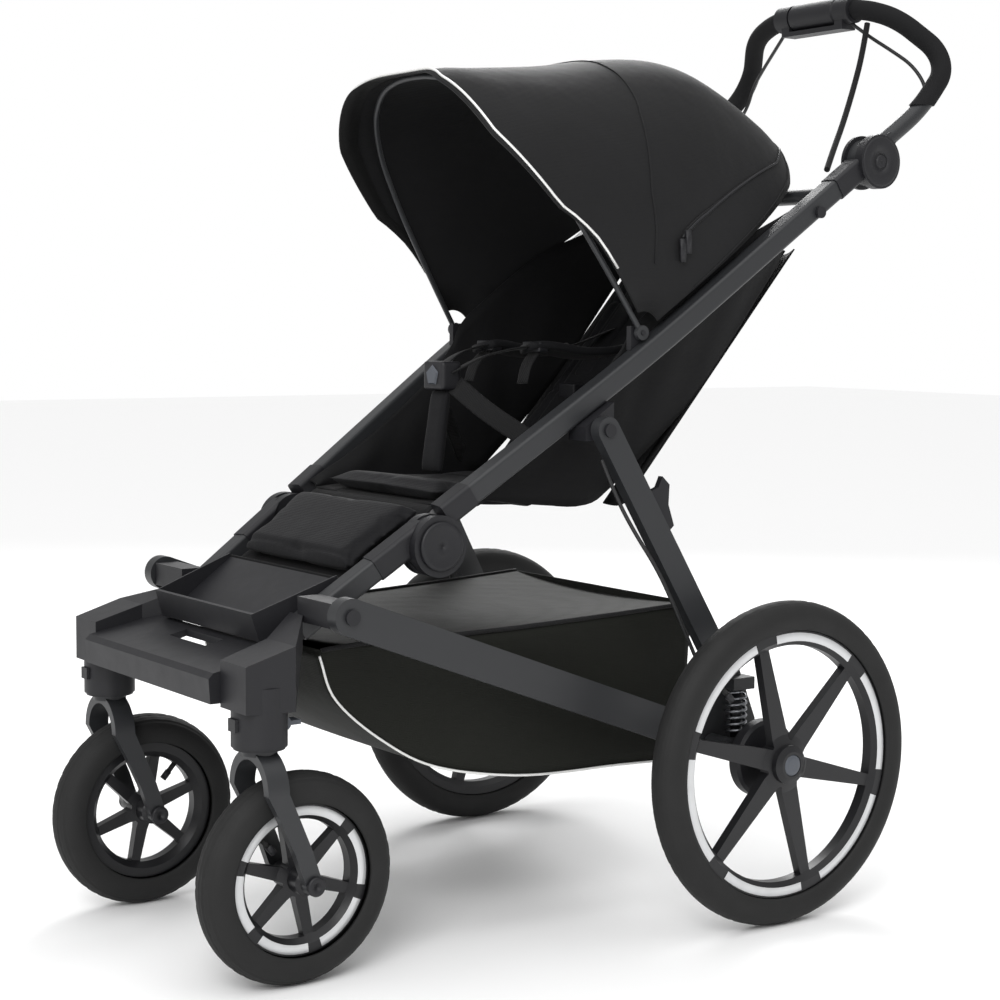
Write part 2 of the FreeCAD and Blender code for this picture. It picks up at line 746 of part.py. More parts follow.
def caster_housing():
    """Arm from the lower tube to the swivel bearing."""
    end = tube_point(LOWER_FRONT_Y - 0.2)
    half = CASTING_WIDTH / 2
    tall = CASTING_HEIGHT / 2 * math.sqrt(1 + RISE ** 2)
    y_end = end.y - mm("axle_y")
    arm = Part.makeLoft([
        rectangle_x_z(end.x - half, end.x + half, y_end, end.z - tall, end.z + tall),
        rectangle_x_z(158, 222, -622, 312, 384),
        rectangle_x_z(162, 220, -682, 314, 366),
    ], True, True)
    sleeve = cylinder_z(31, CASTER_X, CASTER_Y, HOUSING_LOW + 3, 340)
    collar = cylinder_z(28.5, CASTER_X, CASTER_Y, HOUSING_LOW, HOUSING_LOW + 4)
    plug = tube_plug(LOWER_FRONT_Y - 3, LOWER_FRONT_Y + 30)
    arm = arm.cut(lower_tube_outside())
    bore = cylinder_z(9.05, CASTER_X, CASTER_Y, HOUSING_LOW - 1, 320.5)
    pivot = (CASTER_Y + LOCK_BACK, LOCK_Z)
    barrel = cylinder_x(8.4, CASTER_X - 11, CASTER_X + 11, *pivot)
    swing = box(CASTER_X - 11, CASTER_X + 11, pivot[0], pivot[0] + 12, LOCK_Z - 11, LOCK_Z + 13)
    catch = box(CASTER_X - 8.3, CASTER_X + 8.3, CASTER_Y - 36, CASTER_Y - 25.2, 291.7, 306.3)
    return arm.fuse([sleeve, collar, plug]).cut([bore, barrel, swing, catch]).removeSplitter()


node(feature("housings", both(caster_housing())), "caster_housings")


def front_crossmember():
    """Bumper beam between the housings with a slotted step plate."""
    outline = [(-694, 318), (-696, 346), (-690, 352), (-640, 362), (-604, 371), (-604, 363), (-640, 353),
               (-676, 344), (-680, 318)]
    beam = prism(outline, -161.6, 161.6)
    slot = box(-46, 46, -640, -618, 330, 380)
    return beam.cut([slot, both(caster_housing())])


node(feature("bumper", front_crossmember()), "front_crossmember")


def footrest_tray():
    """Dished footrest between the lower tubes."""
    outer = [(-516, 437), (-560, 404), (-600, 376), (-612, 374), (-622, 406), (-618, 407), (-516, 444)]
    inner = [(-512, 442), (-560, 408.5), (-599, 380), (-609, 379), (-618, 407), (-618, 440), (-512, 470)]
    widths = [(121, -623), (126, -575), (131, -514)]
    narrower = [(118, -624), (123, -575), (128, -510)]
    shell = prism(outer, -140, 140).common(plan(widths, 360, 460))
    hollow = prism(inner, -140, 140).common(plan(narrower, 360, 480))
    return shell.cut(hollow)


node(feature("tray", footrest_tray()), "footrest_tray")


def calf_pad():
    """Padded rest from the seat's front edge down to the footrest."""
    outline = [(-398, 527), (-508, 452), (-510, 438), (-500, 434), (-408, 497), (-396, 512)]
    widths = [(133, -512), (143, -394)]
    return prism(outline, -150, 150).common(plan(widths, 420, 540))


node(feature("calf", calf_pad()), "calf_pad")

BAR_PIVOT = (mm("bar_pivot_y"), mm("bar_pivot_z"))
BAR_LOW = mm("bar_x") - mm("bar_width") / 2
BAR_HIGH = mm("bar_x") + mm("bar_width") / 2


def side_bar_brackets():
    """Arm out of the lower tube that carries the side bar's pivot pin."""
    middle = tube_point(BAR_PIVOT[0]).x
    arm = box(middle, BAR_LOW - 0.6, BAR_PIVOT[0] - 15, BAR_PIVOT[0] + 15, BAR_PIVOT[1] - 14,
              BAR_PIVOT[1] + 14)
    pin = cylinder_x(5, BAR_LOW - 2, BAR_HIGH + 1, *BAR_PIVOT)
    head = cylinder_x(9, BAR_HIGH + 0.5, BAR_HIGH + 4, *BAR_PIVOT)
    return both(arm.cut([lower_tube_outside(), caster_housing()]).fuse([pin, head]))


node(feature("bar_brackets", side_bar_brackets()), "side_bar_brackets")

# ---------------------------------------------------------------- front wheels

FORK_HALF_LOW = 33.5
FORK_HALF_HIGH = 44.5
FRONT_AXLE = (mm("front_axle_y"), mm("front_radius"))


def fork_leg():
    """Leg that leans back from the crown to the axle."""
    stations = [(120.2, -606, 10.5), (160, -620, 11), (200, -638, 12), (226, -650.4, 13)]
    wires = []
    for z, y, half in stations:
        corners = [at(FORK_HALF_LOW, y - half, z), at(FORK_HALF_HIGH, y - half, z),
                   at(FORK_HALF_HIGH, y + half, z), at(FORK_HALF_LOW, y + half, z)]
        wires.append(Part.makePolygon(corners + corners[:1]))
    return Part.makeLoft(wires, True, True)


def caster_fork():
    """Round crown, two legs and the swivel stem, about x = 0."""
    crown_z = 225.5
    ring = Part.makeCylinder(FORK_HALF_HIGH, 26, at(0, CASTER_Y - 13, crown_z), Vector(0, 1, 0))
    gap = Part.makeCylinder(FORK_HALF_LOW, 30, at(0, CASTER_Y - 15, crown_z), Vector(0, 1, 0))
    below = box(-60, 60, CASTER_Y - 20, CASTER_Y + 20, 150, crown_z)
    crown = ring.cut([gap, below])
    leg = fork_leg()
    eye = cylinder_x(11, FORK_HALF_LOW, FORK_HALF_HIGH, *FRONT_AXLE)
    seat_ring = cylinder_z(20, 0, CASTER_Y, 264, 270)
    stem = cylinder_z(9, 0, CASTER_Y, 262, 318)
    hole = cylinder_x(4.05, -60, 60, *FRONT_AXLE)
    gap_again = Part.makeCylinder(FORK_HALF_LOW, 60, at(0, CASTER_Y - 30, crown_z), Vector(0, 1, 0))
    solid = crown.fuse([leg, mirrored(leg), eye, mirrored(eye), seat_ring.fuse(stem)])
    return solid.cut([hole, gap_again])


def front_axle():
    shaft = cylinder_x(4, -46, 46, *FRONT_AXLE)
    heads = [cylinder_x(8.5, FORK_HALF_HIGH + 0.2, FORK_HALF_HIGH + 3.5, *FRONT_AXLE),
             cylinder_x(8.5, -FORK_HALF_HIGH - 3.5, -FORK_HALF_HIGH - 0.2, *FRONT_AXLE)]
    return shaft.fuse(heads)


def wheel_rim(name, rim, section, hub_radius, hub_half, bore, spoke_root, spoke_tip, turn, recess=()):
    """Six-spoke wheel: turned blank with six windows; recess is (depth, radius) of a cap's seat."""
    well = rim - 9
    inner = rim - 12
    edge = section * 0.62
    web = 6.0
    face = [(hub_half, bore)]
    if recess:
        depth, seat_radius = recess
        face = [(hub_half - depth, bore), (hub_half - depth, seat_radius), (hub_half, seat_radius)]
    outline = [
        (-hub_half, bore), *face, (hub_half, hub_radius * 0.7), (hub_half - 4, hub_radius),
        (web + 3, hub_radius), (web, hub_radius + 12), (web, inner - 8), (edge, inner), (edge, rim - 1),
        (edge - 2, rim - 0.2), (edge - 5, rim - 0.2), (0, well), (5 - edge, rim - 0.2), (2 - edge, rim - 0.2),
        (-edge, rim - 1), (-edge, inner), (-web, inner - 8), (-web, hub_radius + 12),
        (-web - 3, hub_radius), (4 - hub_half, hub_radius), (-hub_half, hub_radius * 0.7),
    ]
    body = turned_body(name, outline)
    window = sketch_on(body, "YZ_Plane", f"{name}_window")
    root = hub_radius + 5
    tip = inner - 7
    step = math.radians(30)
    root_turn = step - math.asin(spoke_root / root)
    tip_turn = step - math.asin(spoke_tip / tip)
    shift = math.radians(turn)

    def spot(radius, angle):
        return Vector(radius * math.cos(angle + shift), radius * math.sin(angle + shift), 0)

    a = spot(root, -root_turn)
    b = spot(tip, -tip_turn)
    c = spot(tip, tip_turn)
    d = spot(root, root_turn)
    window.addGeometry(Part.LineSegment(a, b))
    window.addGeometry(Part.Arc(b, spot(tip, 0), c))
    window.addGeometry(Part.LineSegment(c, d))
    window.addGeometry(Part.Arc(d, spot(root, 0), a))
    pocket = body.newObject("PartDesign::Pocket", f"{name}_opening")
    pocket.Profile = window
    pocket.Type = "ThroughAll"
    pocket.Midplane = True
    DOC.recompute()
    pattern = body.newObject("PartDesign::PolarPattern", f"{name}_openings")
    pattern.Originals = [pocket]
    pattern.Axis = (window, ["N_Axis"])
    pattern.Angle = 360
    pattern.Occurrences = 6
    body.Tip = pattern
    return body


def tyre(name, radius, section, rim):
    """Air-filled tyre: a round casing, open where it sits on the rim."""
    casing = 3.0
    body = DOC.addObject("PartDesign::Body", name)
    sketch = sketch_on(body, "XY_Plane", f"{name}_profile")
    centre = radius - section
    half = math.sqrt(section ** 2 - (centre - rim) ** 2)
    left = Vector(-half, rim, 0)
    right = Vector(half, rim, 0)
    bead = Vector(casing + 0.5, 0, 0)
    sketch.addGeometry(Part.Arc(left, Vector(0, radius, 0), right))
    sketch.addGeometry(Part.LineSegment(right, right - bead))
    sketch.addGeometry(Part.Arc(right - bead, Vector(0, radius - casing, 0), left + bead))
    sketch.addGeometry(Part.LineSegment(left + bead, left))
    turned = body.newObject("PartDesign::Revolution", f"{name}_turned")
    turned.Profile = sketch
    turned.ReferenceAxis = (sketch, ["H_Axis"])
    turned.Angle = 360
    body.Tip = turned
    return body


for word, side in SIDES:
    offset = Vector(side * CASTER_X, 0, 0)
    node(feature(f"fork_{word}", caster_fork(), offset), f"caster_fork_{word}")
    node(feature(f"axle_{word}", front_axle(), offset), f"front_axle_{word}")
    rim = wheel_rim(f"small_rim_{word}", mm("front_rim_radius"), mm("front_section"), 15.0, 31.0, 4.05, 8.0, 6.0, 12)
    place_wheel(rim, side, "front_track", "front_axle_y", "front_radius")
    node(rim, f"front_rim_{word}")
    rubber = tyre(f"small_tyre_{word}", mm("front_radius"), mm("front_section"), mm("front_rim_radius"))
    place_wheel(rubber, side, "front_track", "front_axle_y", "front_radius")
    node(rubber, f"front_tyre_{word}")

for word, side in SIDES:
    key = rod(f"key_{word}", "8", "front_track - 10.4", "front_track + 10.4", "caster_y + 26", "296", side)
    tab = block(f"tab_{word}", "front_track - 9", "front_track + 9", "caster_y + 26", "caster_y + 47",
                "293.5", "298.5", side)
    node(fused(f"lever_{word}", key, tab), f"swivel_lever_{word}")

for word, side in SIDES:
    button = block(f"catch_{word}", "front_track - 8", "front_track + 8", "caster_y - 34", "caster_y - 28.5",
                   "292", "306", side)
    node(button, f"wheel_button_{word}")

# ---------------------------------------------------------------- rear legs

FOOT = (mm("leg_foot_y"), mm("leg_foot_z"))
ARM = (mm("arm_pivot_y"), mm("arm_pivot_z"))
CROSS = (mm("cross_tube_y"), mm("cross_tube_z"))
SPRING_SEAT_Z = FOOT[1] - 3.0
LEG_DOWN = unit(Vector(0, FOOT[0] - LEG[0], FOOT[1] - LEG[1]))
LEG_BACK = Vector(0, -LEG_DOWN.z, LEG_DOWN.y)
LEG_LENGTH = math.hypot(FOOT[0] - LEG[0], FOOT[1] - LEG[1])


def leg_spot(down, back, x_shift=0.0):
    """A point given down the leg, behind its middle, and across from it."""
    share = down / LEG_LENGTH
    x = mm("leg_top_x") + share * (mm("leg_foot_x") - mm("leg_top_x")) + x_shift
    return at(x, *LEG) + LEG_DOWN * down + LEG_BACK * back


def leg_section(down, depth, width):
    corners = [leg_spot(down, a * depth / 2, b * width / 2) for a, b in ((-1, -1), (1, -1), (1, 1), (-1, 1))]
    return Part.makePolygon(corners + corners[:1])


def rear_leg():
    """Flat leg, its foot plate with the pivots, and the spring seat."""
    width = mm("leg_width")
    depth = mm("leg_depth")
    blade = Part.makeLoft([leg_section(0, depth, width), leg_section(LEG_LENGTH, depth, width)], True, True)
    blade = blade.cut(box(200, 300, -90, 60, 180, SPRING_SEAT_Z))
    low = mm("leg_top_x") - width / 2
    crown = cylinder_x(depth / 2, low, low + width, *LEG)
    plate = prism([(-52, 306), (-2, 306), (26, 240), (26, 212), (8, 206), (-58, 204), (-64, 226)], 238, 246)
    seat = box(240, 277, -38, -4, SPRING_SEAT_Z, SPRING_SEAT_Z + 15)
    bores = [cylinder_x(4.05, 210, 245, *LEG), cylinder_x(mm("cross_tube_radius") + 0.1, 230, 250, *CROSS)]
    pin = cylinder_x(5, 238.5, 278.5, *ARM)
    return blade.fuse([crown, plate, seat]).cut(bores).fuse(pin)


node(feature("legs", both(rear_leg())), "rear_struts")
cross = rod("cross", "cross_tube_radius", "-246", "246", "cross_tube_y", "cross_tube_z")
node(cross, "rear_axle_tube")


def transport_hook():
    """Hook plate behind the left leg that holds the folded frame."""
    half = mm("leg_depth") / 2
    outline = [(96, half + 0.2), (98, half + 14), (90, half + 26), (104, half + 30), (124, half + 16),
               (150, half + 10), (152, half + 0.2)]
    corners = [leg_spot(down, back, -4) for down, back in outline]
    return Part.Face(Part.makePolygon(corners + corners[:1])).extrude(Vector(8, 0, 0))


node(feature("hook", transport_hook()), "transport_hook")


def leg_cable_points():
    """Brake cable in front of the leg, from under the tube to the spring seat."""
    return [
        leg_spot(26, -24, 2),
        leg_spot(72, -31, 5),
        leg_spot(124, -29, 4),
        leg_spot(178, -24, 6),
        leg_spot(232, -25, 5),
        leg_spot(284, -30, 7),
        leg_spot(322, -34, 9),
    ]


def leg_cables():
    return both(swept_round(leg_cable_points(), 2.5, "leg brake cable"))


node(feature("leg_cables", leg_cables()), "strut_brake_cables")

# ---------------------------------------------------------------- rear wheels

AXLE_Z = mm("rear_radius")


def swing_arm():
    arm = link(ARM, (0, AXLE_Z), 11, 247.5, 277)
    hole = cylinder_x(5.05, 240, 280, *ARM)
    stub = cylinder_x(mm("stub_radius"), 276, 336.5, 0, AXLE_Z)
    return arm.cut(hole).fuse(stub)


springs = [post(f"spring_{word}", "14", f"{side} * 262", "-20", "224.6", "leg_foot_z - 3.5") for word, side in SIDES]
node(group("springs", *springs), "suspension_springs")

for word, side in SIDES:
    node(feature(f"arm_{word}", handed(swing_arm(), side)), f"swing_arm_{word}")
    drum = turned_body(f"drum_{word}", [(0, 6.1), (20, 6.1), (20, 44), (17, 48), (4, 48), (0, 42)])
    place_wheel(drum, side, "278", "0", "rear_radius")
    node(drum, f"drum_brake_{word}")
    rim = wheel_rim(f"big_rim_{word}", mm("rear_rim_radius"), mm("rear_section"), 24.0, 20.0, mm("hub_bore"),
                    13.0, 7.5, 15, (6.5, 13.3))
    place_wheel(rim, side, "rear_track", "0", "rear_radius")
    node(rim, f"rear_rim_{word}")
    rubber = tyre(f"big_tyre_{word}", mm("rear_radius"), mm("rear_section"), mm("rear_rim_radius"))
    place_wheel(rubber, side, "rear_track", "0", "rear_radius")
    node(rubber, f"rear_tyre_{word}")
    cap = turned_body(f"cap_{word}", [(0, 0), (4.2, 0), (4, 8), (3, 12), (2, 13), (0, 13)])
    place_wheel(cap, side, "rear_track + 17", "0", "rear_radius")
    node(cap, f"hub_cap_{word}")

# ---------------------------------------------------------------- side bars and basket


def side_bar():
    """Flat bar from the lower tube back towards the swing arm's pivot."""
    rear = (mm("bar_rear_y"), BAR_PIVOT[1] - mm("bar_fall") * (mm("bar_rear_y") - BAR_PIVOT[0]))
    depth = mm("bar_depth") / 2
    bar = link(BAR_PIVOT, rear, depth, BAR_LOW, BAR_HIGH)
    hollow = link((BAR_PIVOT[0] + 40, BAR_PIVOT[1] - mm("bar_fall") * 40), rear, depth - 2, BAR_LOW + 2, BAR_HIGH - 2)
    return bar.cut([hollow, cylinder_x(5.05, 200, 250, *BAR_PIVOT)])


node(feature("bars", both(side_bar())), "side_bars")


def basket():
    """Open bag hung between the side bars."""
    outline = [(-548, 356), (-528, 304), (-470, 252), (-399, 214), (-283, 192), (-60, 189), (-34, 200), (-32, 384),
               (-300, 372)]
    floor = [(-560, 352), (-543, 353), (-525, 306), (-468, 255), (-398, 217), (-283, 195), (-62, 192), (-37, 202),
             (-35, 300), (-35, 420), (-560, 420)]
    widths = [(150, -550), (184, -300), (196, -30)]
    wall = mm("basket_wall")
    narrower = [(x - wall, y) for x, y in widths]
    outer = prism(outline, -220, 220).common(plan(widths, 150, 450))
    inner = prism(floor, -220, 220).common(plan(narrower, 150, 450))
    return outer.cut(inner)


node(feature("bag", basket()), "basket")

# ---------------------------------------------------------------- handle cords


def handle_cable_points():
    """Brake cable from the housing round the inside of the handlebar."""
    return [
        at(66, 346, 1147),
        at(92, 352, 1128),
        at(126, 362, 1106),
        at(160, 372, 1082),
        at(181, 378, 1048),
        at(186, 352, 1018),
        at(189, 320, 996),
    ]


def handle_cables():
    return both(swept_round(handle_cable_points(), 2.5, "handle brake cable"))


node(feature("handle_cables", handle_cables()), "handle_brake_cables")


def wrist_strap():
    """Webbing loop that hangs from the crossbar to the left tube."""
    path = [at(97, 345, 1143.5), at(104, 330, 1100), at(112, 306, 1050), at(130, 270, 1000), at(158, 226, 962),
            at(182, 192, 934)]
    return swept_round(path, 4, "wrist strap")


node(feature("strap", wrist_strap()), "wrist_strap")

# ---------------------------------------------------------------- export

DOC.recompute()
failed = [obj.Name for obj in DOC.Objects if "Invalid" in obj.State or "Error" in obj.State]
if failed:
    raise RuntimeError(f"failed objects: {failed}")
for obj in NODES:
    if obj.Shape.isNull() or not obj.Shape.isValid() or not obj.Shape.Solids:
        raise RuntimeError(f"bad shape: {obj.Label}")

os.makedirs("parts", exist_ok=True)
for old in os.listdir("parts"):
    os.remove(os.path.join("parts", old))
outline = FreeCAD.BoundBox()
for obj in NODES:
    obj.Shape.exportStep(os.path.join("parts", f"{obj.Label}.step"))
    outline.add(obj.Shape.optimalBoundingBox(False, False))
    print(f"{obj.Label}: {len(obj.Shape.Solids)} solids, {obj.Shape.Volume / 1000:.1f} cm3")
print(f"{len(NODES)} nodes")
print(f"outline {outline.XLength:.1f} x {outline.YLength:.1f} x {outline.ZLength:.1f}, middle "
      f"{outline.Center.x:.2f} {outline.Center.y:.2f}, bottom {outline.ZMin:.2f}")
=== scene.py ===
import json
import math

import bpy
import bmesh
import numpy as np
from mathutils import Matrix, Vector


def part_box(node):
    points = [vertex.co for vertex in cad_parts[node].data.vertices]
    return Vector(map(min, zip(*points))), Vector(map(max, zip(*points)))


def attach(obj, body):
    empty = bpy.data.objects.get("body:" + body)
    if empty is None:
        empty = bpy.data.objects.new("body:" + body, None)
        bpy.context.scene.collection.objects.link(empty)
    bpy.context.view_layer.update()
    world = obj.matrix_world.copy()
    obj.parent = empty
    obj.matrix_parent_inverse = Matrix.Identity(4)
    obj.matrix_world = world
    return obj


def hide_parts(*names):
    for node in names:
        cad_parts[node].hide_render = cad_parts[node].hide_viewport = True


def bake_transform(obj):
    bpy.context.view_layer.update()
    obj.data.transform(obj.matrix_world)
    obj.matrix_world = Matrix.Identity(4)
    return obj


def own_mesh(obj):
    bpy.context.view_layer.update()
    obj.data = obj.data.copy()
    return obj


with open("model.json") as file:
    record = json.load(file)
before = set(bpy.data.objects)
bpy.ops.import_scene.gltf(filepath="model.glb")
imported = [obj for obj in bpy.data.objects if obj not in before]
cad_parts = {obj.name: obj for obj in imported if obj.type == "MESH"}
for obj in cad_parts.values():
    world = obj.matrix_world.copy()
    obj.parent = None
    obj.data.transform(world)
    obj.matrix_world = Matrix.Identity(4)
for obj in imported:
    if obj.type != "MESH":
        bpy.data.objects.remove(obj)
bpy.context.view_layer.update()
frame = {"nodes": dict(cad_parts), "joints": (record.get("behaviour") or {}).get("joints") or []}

bl_info = {
    "name": "Jogging stroller looks",
    "version": (1, 0, 0),
    "blender": (4, 5, 0),
    "location": "View3D > Sidebar > Stroller",
    "description": "Fabric, finishes and small parts for a jogging stroller's frame",
    "category": "Object",
}

MM = 0.001
SIDES = (("left", 1), ("right", -1))


# ---------------------------------------------------------------- places read from the frame

def joint_place(name):
    """Where a joint's axis passes, in metres."""
    found = [j for j in frame["joints"] if j["name"] == name]
    return Vector(found[0]["pos_m"])


FOLD = joint_place("fold")
HOOD = joint_place("canopy_fold")
RECLINE = joint_place("seat_recline")
GRIP_HINGE = joint_place("handle_tilt")
REAR_HUB = joint_place("rear_wheel_spin_left")
FRONT_HUB = joint_place("front_wheel_spin_left")
AXLE_Y = REAR_HUB.y


def at(x, y, z):
    """Millimetres, with y counted from the rear axle, to metres in the frame."""
    return Vector((x * MM, y * MM + AXLE_Y, z * MM))


def tube_middle(y):
    """Distance in mm of the side tube's middle from the centre line."""
    return 203.0 + 0.136 * min(0.0, y + 120.0)


def hood_spot(x, radius, degrees):
    """A point given round the canopy's pivot line."""
    turn = math.radians(degrees)
    return Vector((x * MM, HOOD.y + radius * MM * math.cos(turn), HOOD.z + radius * MM * math.sin(turn)))


# ---------------------------------------------------------------- settings shown in the panel

class StrollerColours(bpy.types.PropertyGroup):
    tube: bpy.props.StringProperty(name="Tubes", description="Powder coat, sRGB hex", default="2a2b2d")
    moulding: bpy.props.StringProperty(name="Mouldings", description="Moulded plastic, sRGB hex", default="1d1d20")
    rim: bpy.props.StringProperty(name="Rims", description="Wheel plastic, sRGB hex", default="1b1b1d")
    tyre: bpy.props.StringProperty(name="Tyres", description="Tyre rubber, sRGB hex", default="242424")
    canopy: bpy.props.StringProperty(name="Canopy", description="Canopy cloth, sRGB hex", default="1b1b1c")
    seat: bpy.props.StringProperty(name="Seat", description="Seat cloth, sRGB hex", default="131314")
    basket: bpy.props.StringProperty(name="Basket", description="Basket cloth, sRGB hex", default="1a1b17")
    button: bpy.props.StringProperty(name="Buttons", description="Push buttons, sRGB hex", default="4a4e55")
    reflective: bpy.props.StringProperty(name="Reflective", description="Reflective film, sRGB hex", default="d4d5d6")


class StrollerSizes(bpy.types.PropertyGroup):
    thread: bpy.props.FloatProperty(
        name="Thread spacing", description="Spacing of the cloth's threads as drawn", default=0.0016,
        min=0.0002, max=0.01, unit="LENGTH")
    pad_swell: bpy.props.FloatProperty(
        name="Pad swell", description="Pressure that fills the pads", default=4.0, min=0.0, max=20.0)
    pad_cap: bpy.props.FloatProperty(
        name="Pad cap", description="Furthest that a pad's cloth may move", default=0.007,
        min=0.0, max=0.03, unit="LENGTH")


# ---------------------------------------------------------------- material helpers

def linear(code):
    """sRGB hex to linear RGBA."""
    values = []
    for start in (0, 2, 4):
        part = int(code[start:start + 2], 16) / 255
        values.append(part / 12.92 if part <= 0.04045 else ((part + 0.055) / 1.055) ** 2.4)
    return (*values, 1.0)


def add_node(tree, kind, settings=None, inputs=None, links=None):
    """A node with its settings, its socket values and its incoming links."""
    made = tree.nodes.new(kind)
    for key, value in (settings or {}).items():
        setattr(made, key, value)
    for key, value in (inputs or {}).items():
        made.inputs[key].default_value = value
    for key, socket in (links or {}).items():
        tree.links.new(socket, made.inputs[key])
    return made


def new_material(name, code, roughness, shader_values=None):
    """A material with its shader, its object coordinates and its base colour."""
    made = bpy.data.materials.new(name)
    made.use_nodes = True
    tree = made.node_tree
    tree.nodes.clear()
    values = {"Base Color": linear(code), "Roughness": roughness, **(shader_values or {})}
    shader = add_node(tree, "ShaderNodeBsdfPrincipled", inputs=values)
    add_node(tree, "ShaderNodeOutputMaterial", links={"Surface": shader.outputs["BSDF"]})
    place = add_node(tree, "ShaderNodeTexCoord").outputs["Object"]
    return made, tree, shader, place


def darker(code, share):
    """The same colour with its light cut to a share."""
    return tuple(value * share for value in linear(code)[:3]) + (1.0,)


def vary_colour(tree, shader, place, code, size, low, high):
    """Slow change of the base colour over patches of a real size."""
    noise = add_node(tree, "ShaderNodeTexNoise", inputs={"Scale": 1 / size, "Detail": 4.0},
                     links={"Vector": place})
    mix = add_node(tree, "ShaderNodeMix", {"data_type": "RGBA"}, links={0: noise.outputs["Fac"]})
    mix.inputs[6].default_value = darker(code, low)
    mix.inputs[7].default_value = darker(code, high)
    tree.links.new(mix.outputs[2], shader.inputs["Base Color"])


def vary_roughness(tree, shader, place, size, low, high):
    """Slow change of the gloss over patches of a real size."""
    noise = add_node(tree, "ShaderNodeTexNoise", inputs={"Scale": 1 / size, "Detail": 3.0},
                     links={"Vector": place})
    spread = add_node(tree, "ShaderNodeMapRange", inputs={"To Min": low, "To Max": high},
                      links={"Value": noise.outputs["Fac"]})
    tree.links.new(spread.outputs["Result"], shader.inputs["Roughness"])


def grain_bump(tree, place, size, depth, detail=2.0):
    """Fine cast or sprayed grain of a real size and depth."""
    noise = add_node(tree, "ShaderNodeTexNoise", inputs={"Scale": 1 / size, "Detail": detail},
                     links={"Vector": place})
    return add_node(tree, "ShaderNodeBump", inputs={"Strength": 1.0, "Distance": depth},
                    links={"Height": noise.outputs["Fac"]})


def thread_wave(tree, place, direction, spacing):
    """Rows of threads; the wave's period is 2 pi over 20 times its scale."""
    return add_node(tree, "ShaderNodeTexWave", {"wave_type": "BANDS", "bands_direction": direction},
                    {"Scale": 2 * math.pi / (20 * spacing), "Distortion": 0.4, "Detail": 1.0},
                    {"Vector": place}).outputs["Fac"]


def weave_height(tree, place, spacing):
    """Plain weave: one thread over and one under, in the side view and across."""
    along = thread_wave(tree, place, "Z", spacing)
    across = thread_wave(tree, place, "X", spacing)
    depthwise = thread_wave(tree, place, "Y", spacing)
    pair = add_node(tree, "ShaderNodeMath", {"operation": "MULTIPLY"}, links={0: along, 1: across})
    other = add_node(tree, "ShaderNodeMath", {"operation": "MULTIPLY"}, links={0: along, 1: depthwise})
    return add_node(tree, "ShaderNodeMath", {"operation": "MAXIMUM"},
                    links={0: pair.outputs[0], 1: other.outputs[0]}).outputs[0]


def woven_cloth(name, code, roughness, spacing, depth, crease_size, crease_depth, sheen):
    """Woven synthetic: threads catch light, slow creases move it, and sheen lifts the edges."""
    made, tree, shader, place = new_material(
        name, code, roughness, {"Sheen Weight": sheen, "Sheen Roughness": 0.45, "Specular IOR Level": 0.16})
    vary_colour(tree, shader, place, code, 0.12, 0.82, 1.18)
    creases = grain_bump(tree, place, crease_size, crease_depth, 3.0)
    weave = add_node(tree, "ShaderNodeBump", inputs={"Strength": 0.6, "Distance": depth},
                     links={"Height": weave_height(tree, place, spacing), "Normal": creases.outputs["Normal"]})
    tree.links.new(weave.outputs["Normal"], shader.inputs["Normal"])
    return made


def grained(name, code, roughness, shader_values, colour, gloss, grain):
    """A hard finish: colour and gloss are (size, low, high), grain is (size, depth); None leaves one out."""
    made, tree, shader, place = new_material(name, code, roughness, shader_values)
    if colour:
        vary_colour(tree, shader, place, code, *colour)
    if gloss:
        vary_roughness(tree, shader, place, *gloss)
    if grain:
        bump = grain_bump(tree, place, *grain)
        tree.links.new(bump.outputs["Normal"], shader.inputs["Normal"])
    return made


def foam_grip(code):
    """Closed-cell EVA foam: very matt, with open cells on the skin."""
    made, tree, shader, place = new_material("eva_foam", code, 0.86, {"Specular IOR Level": 0.15})
    cells = add_node(tree, "ShaderNodeTexVoronoi", inputs={"Scale": 1 / 0.0016}, links={"Vector": place})
    bump = add_node(tree, "ShaderNodeBump", inputs={"Strength": 0.7, "Distance": 0.00015},
                    links={"Height": cells.outputs["Distance"]})
    vary_colour(tree, shader, place, code, 0.03, 0.88, 1.12)
    tree.links.new(bump.outputs["Normal"], shader.inputs["Normal"])
    return made


def webbing(code):
    """Woven polyester strap: ribs across it and a slight sheen."""
    made, tree, shader, place = new_material(
        "polyester_webbing", code, 0.7, {"Sheen Weight": 0.05, "Specular IOR Level": 0.2})
    ribs = thread_wave(tree, place, "DIAGONAL", 0.0022)
    bump = add_node(tree, "ShaderNodeBump", inputs={"Strength": 0.8, "Distance": 0.0003}, links={"Height": ribs})
    vary_colour(tree, shader, place, code, 0.02, 0.85, 1.2)
    tree.links.new(bump.outputs["Normal"], shader.inputs["Normal"])
    return made


def reflective_film(code):
    """Glass-bead film: pale grey, a little metallic, with a fine bead grain."""
    return grained("glass_bead_film", code, 0.34, {"Metallic": 0.35}, (0.02, 0.85, 1.05), None,
                   (0.0011, 0.00005))


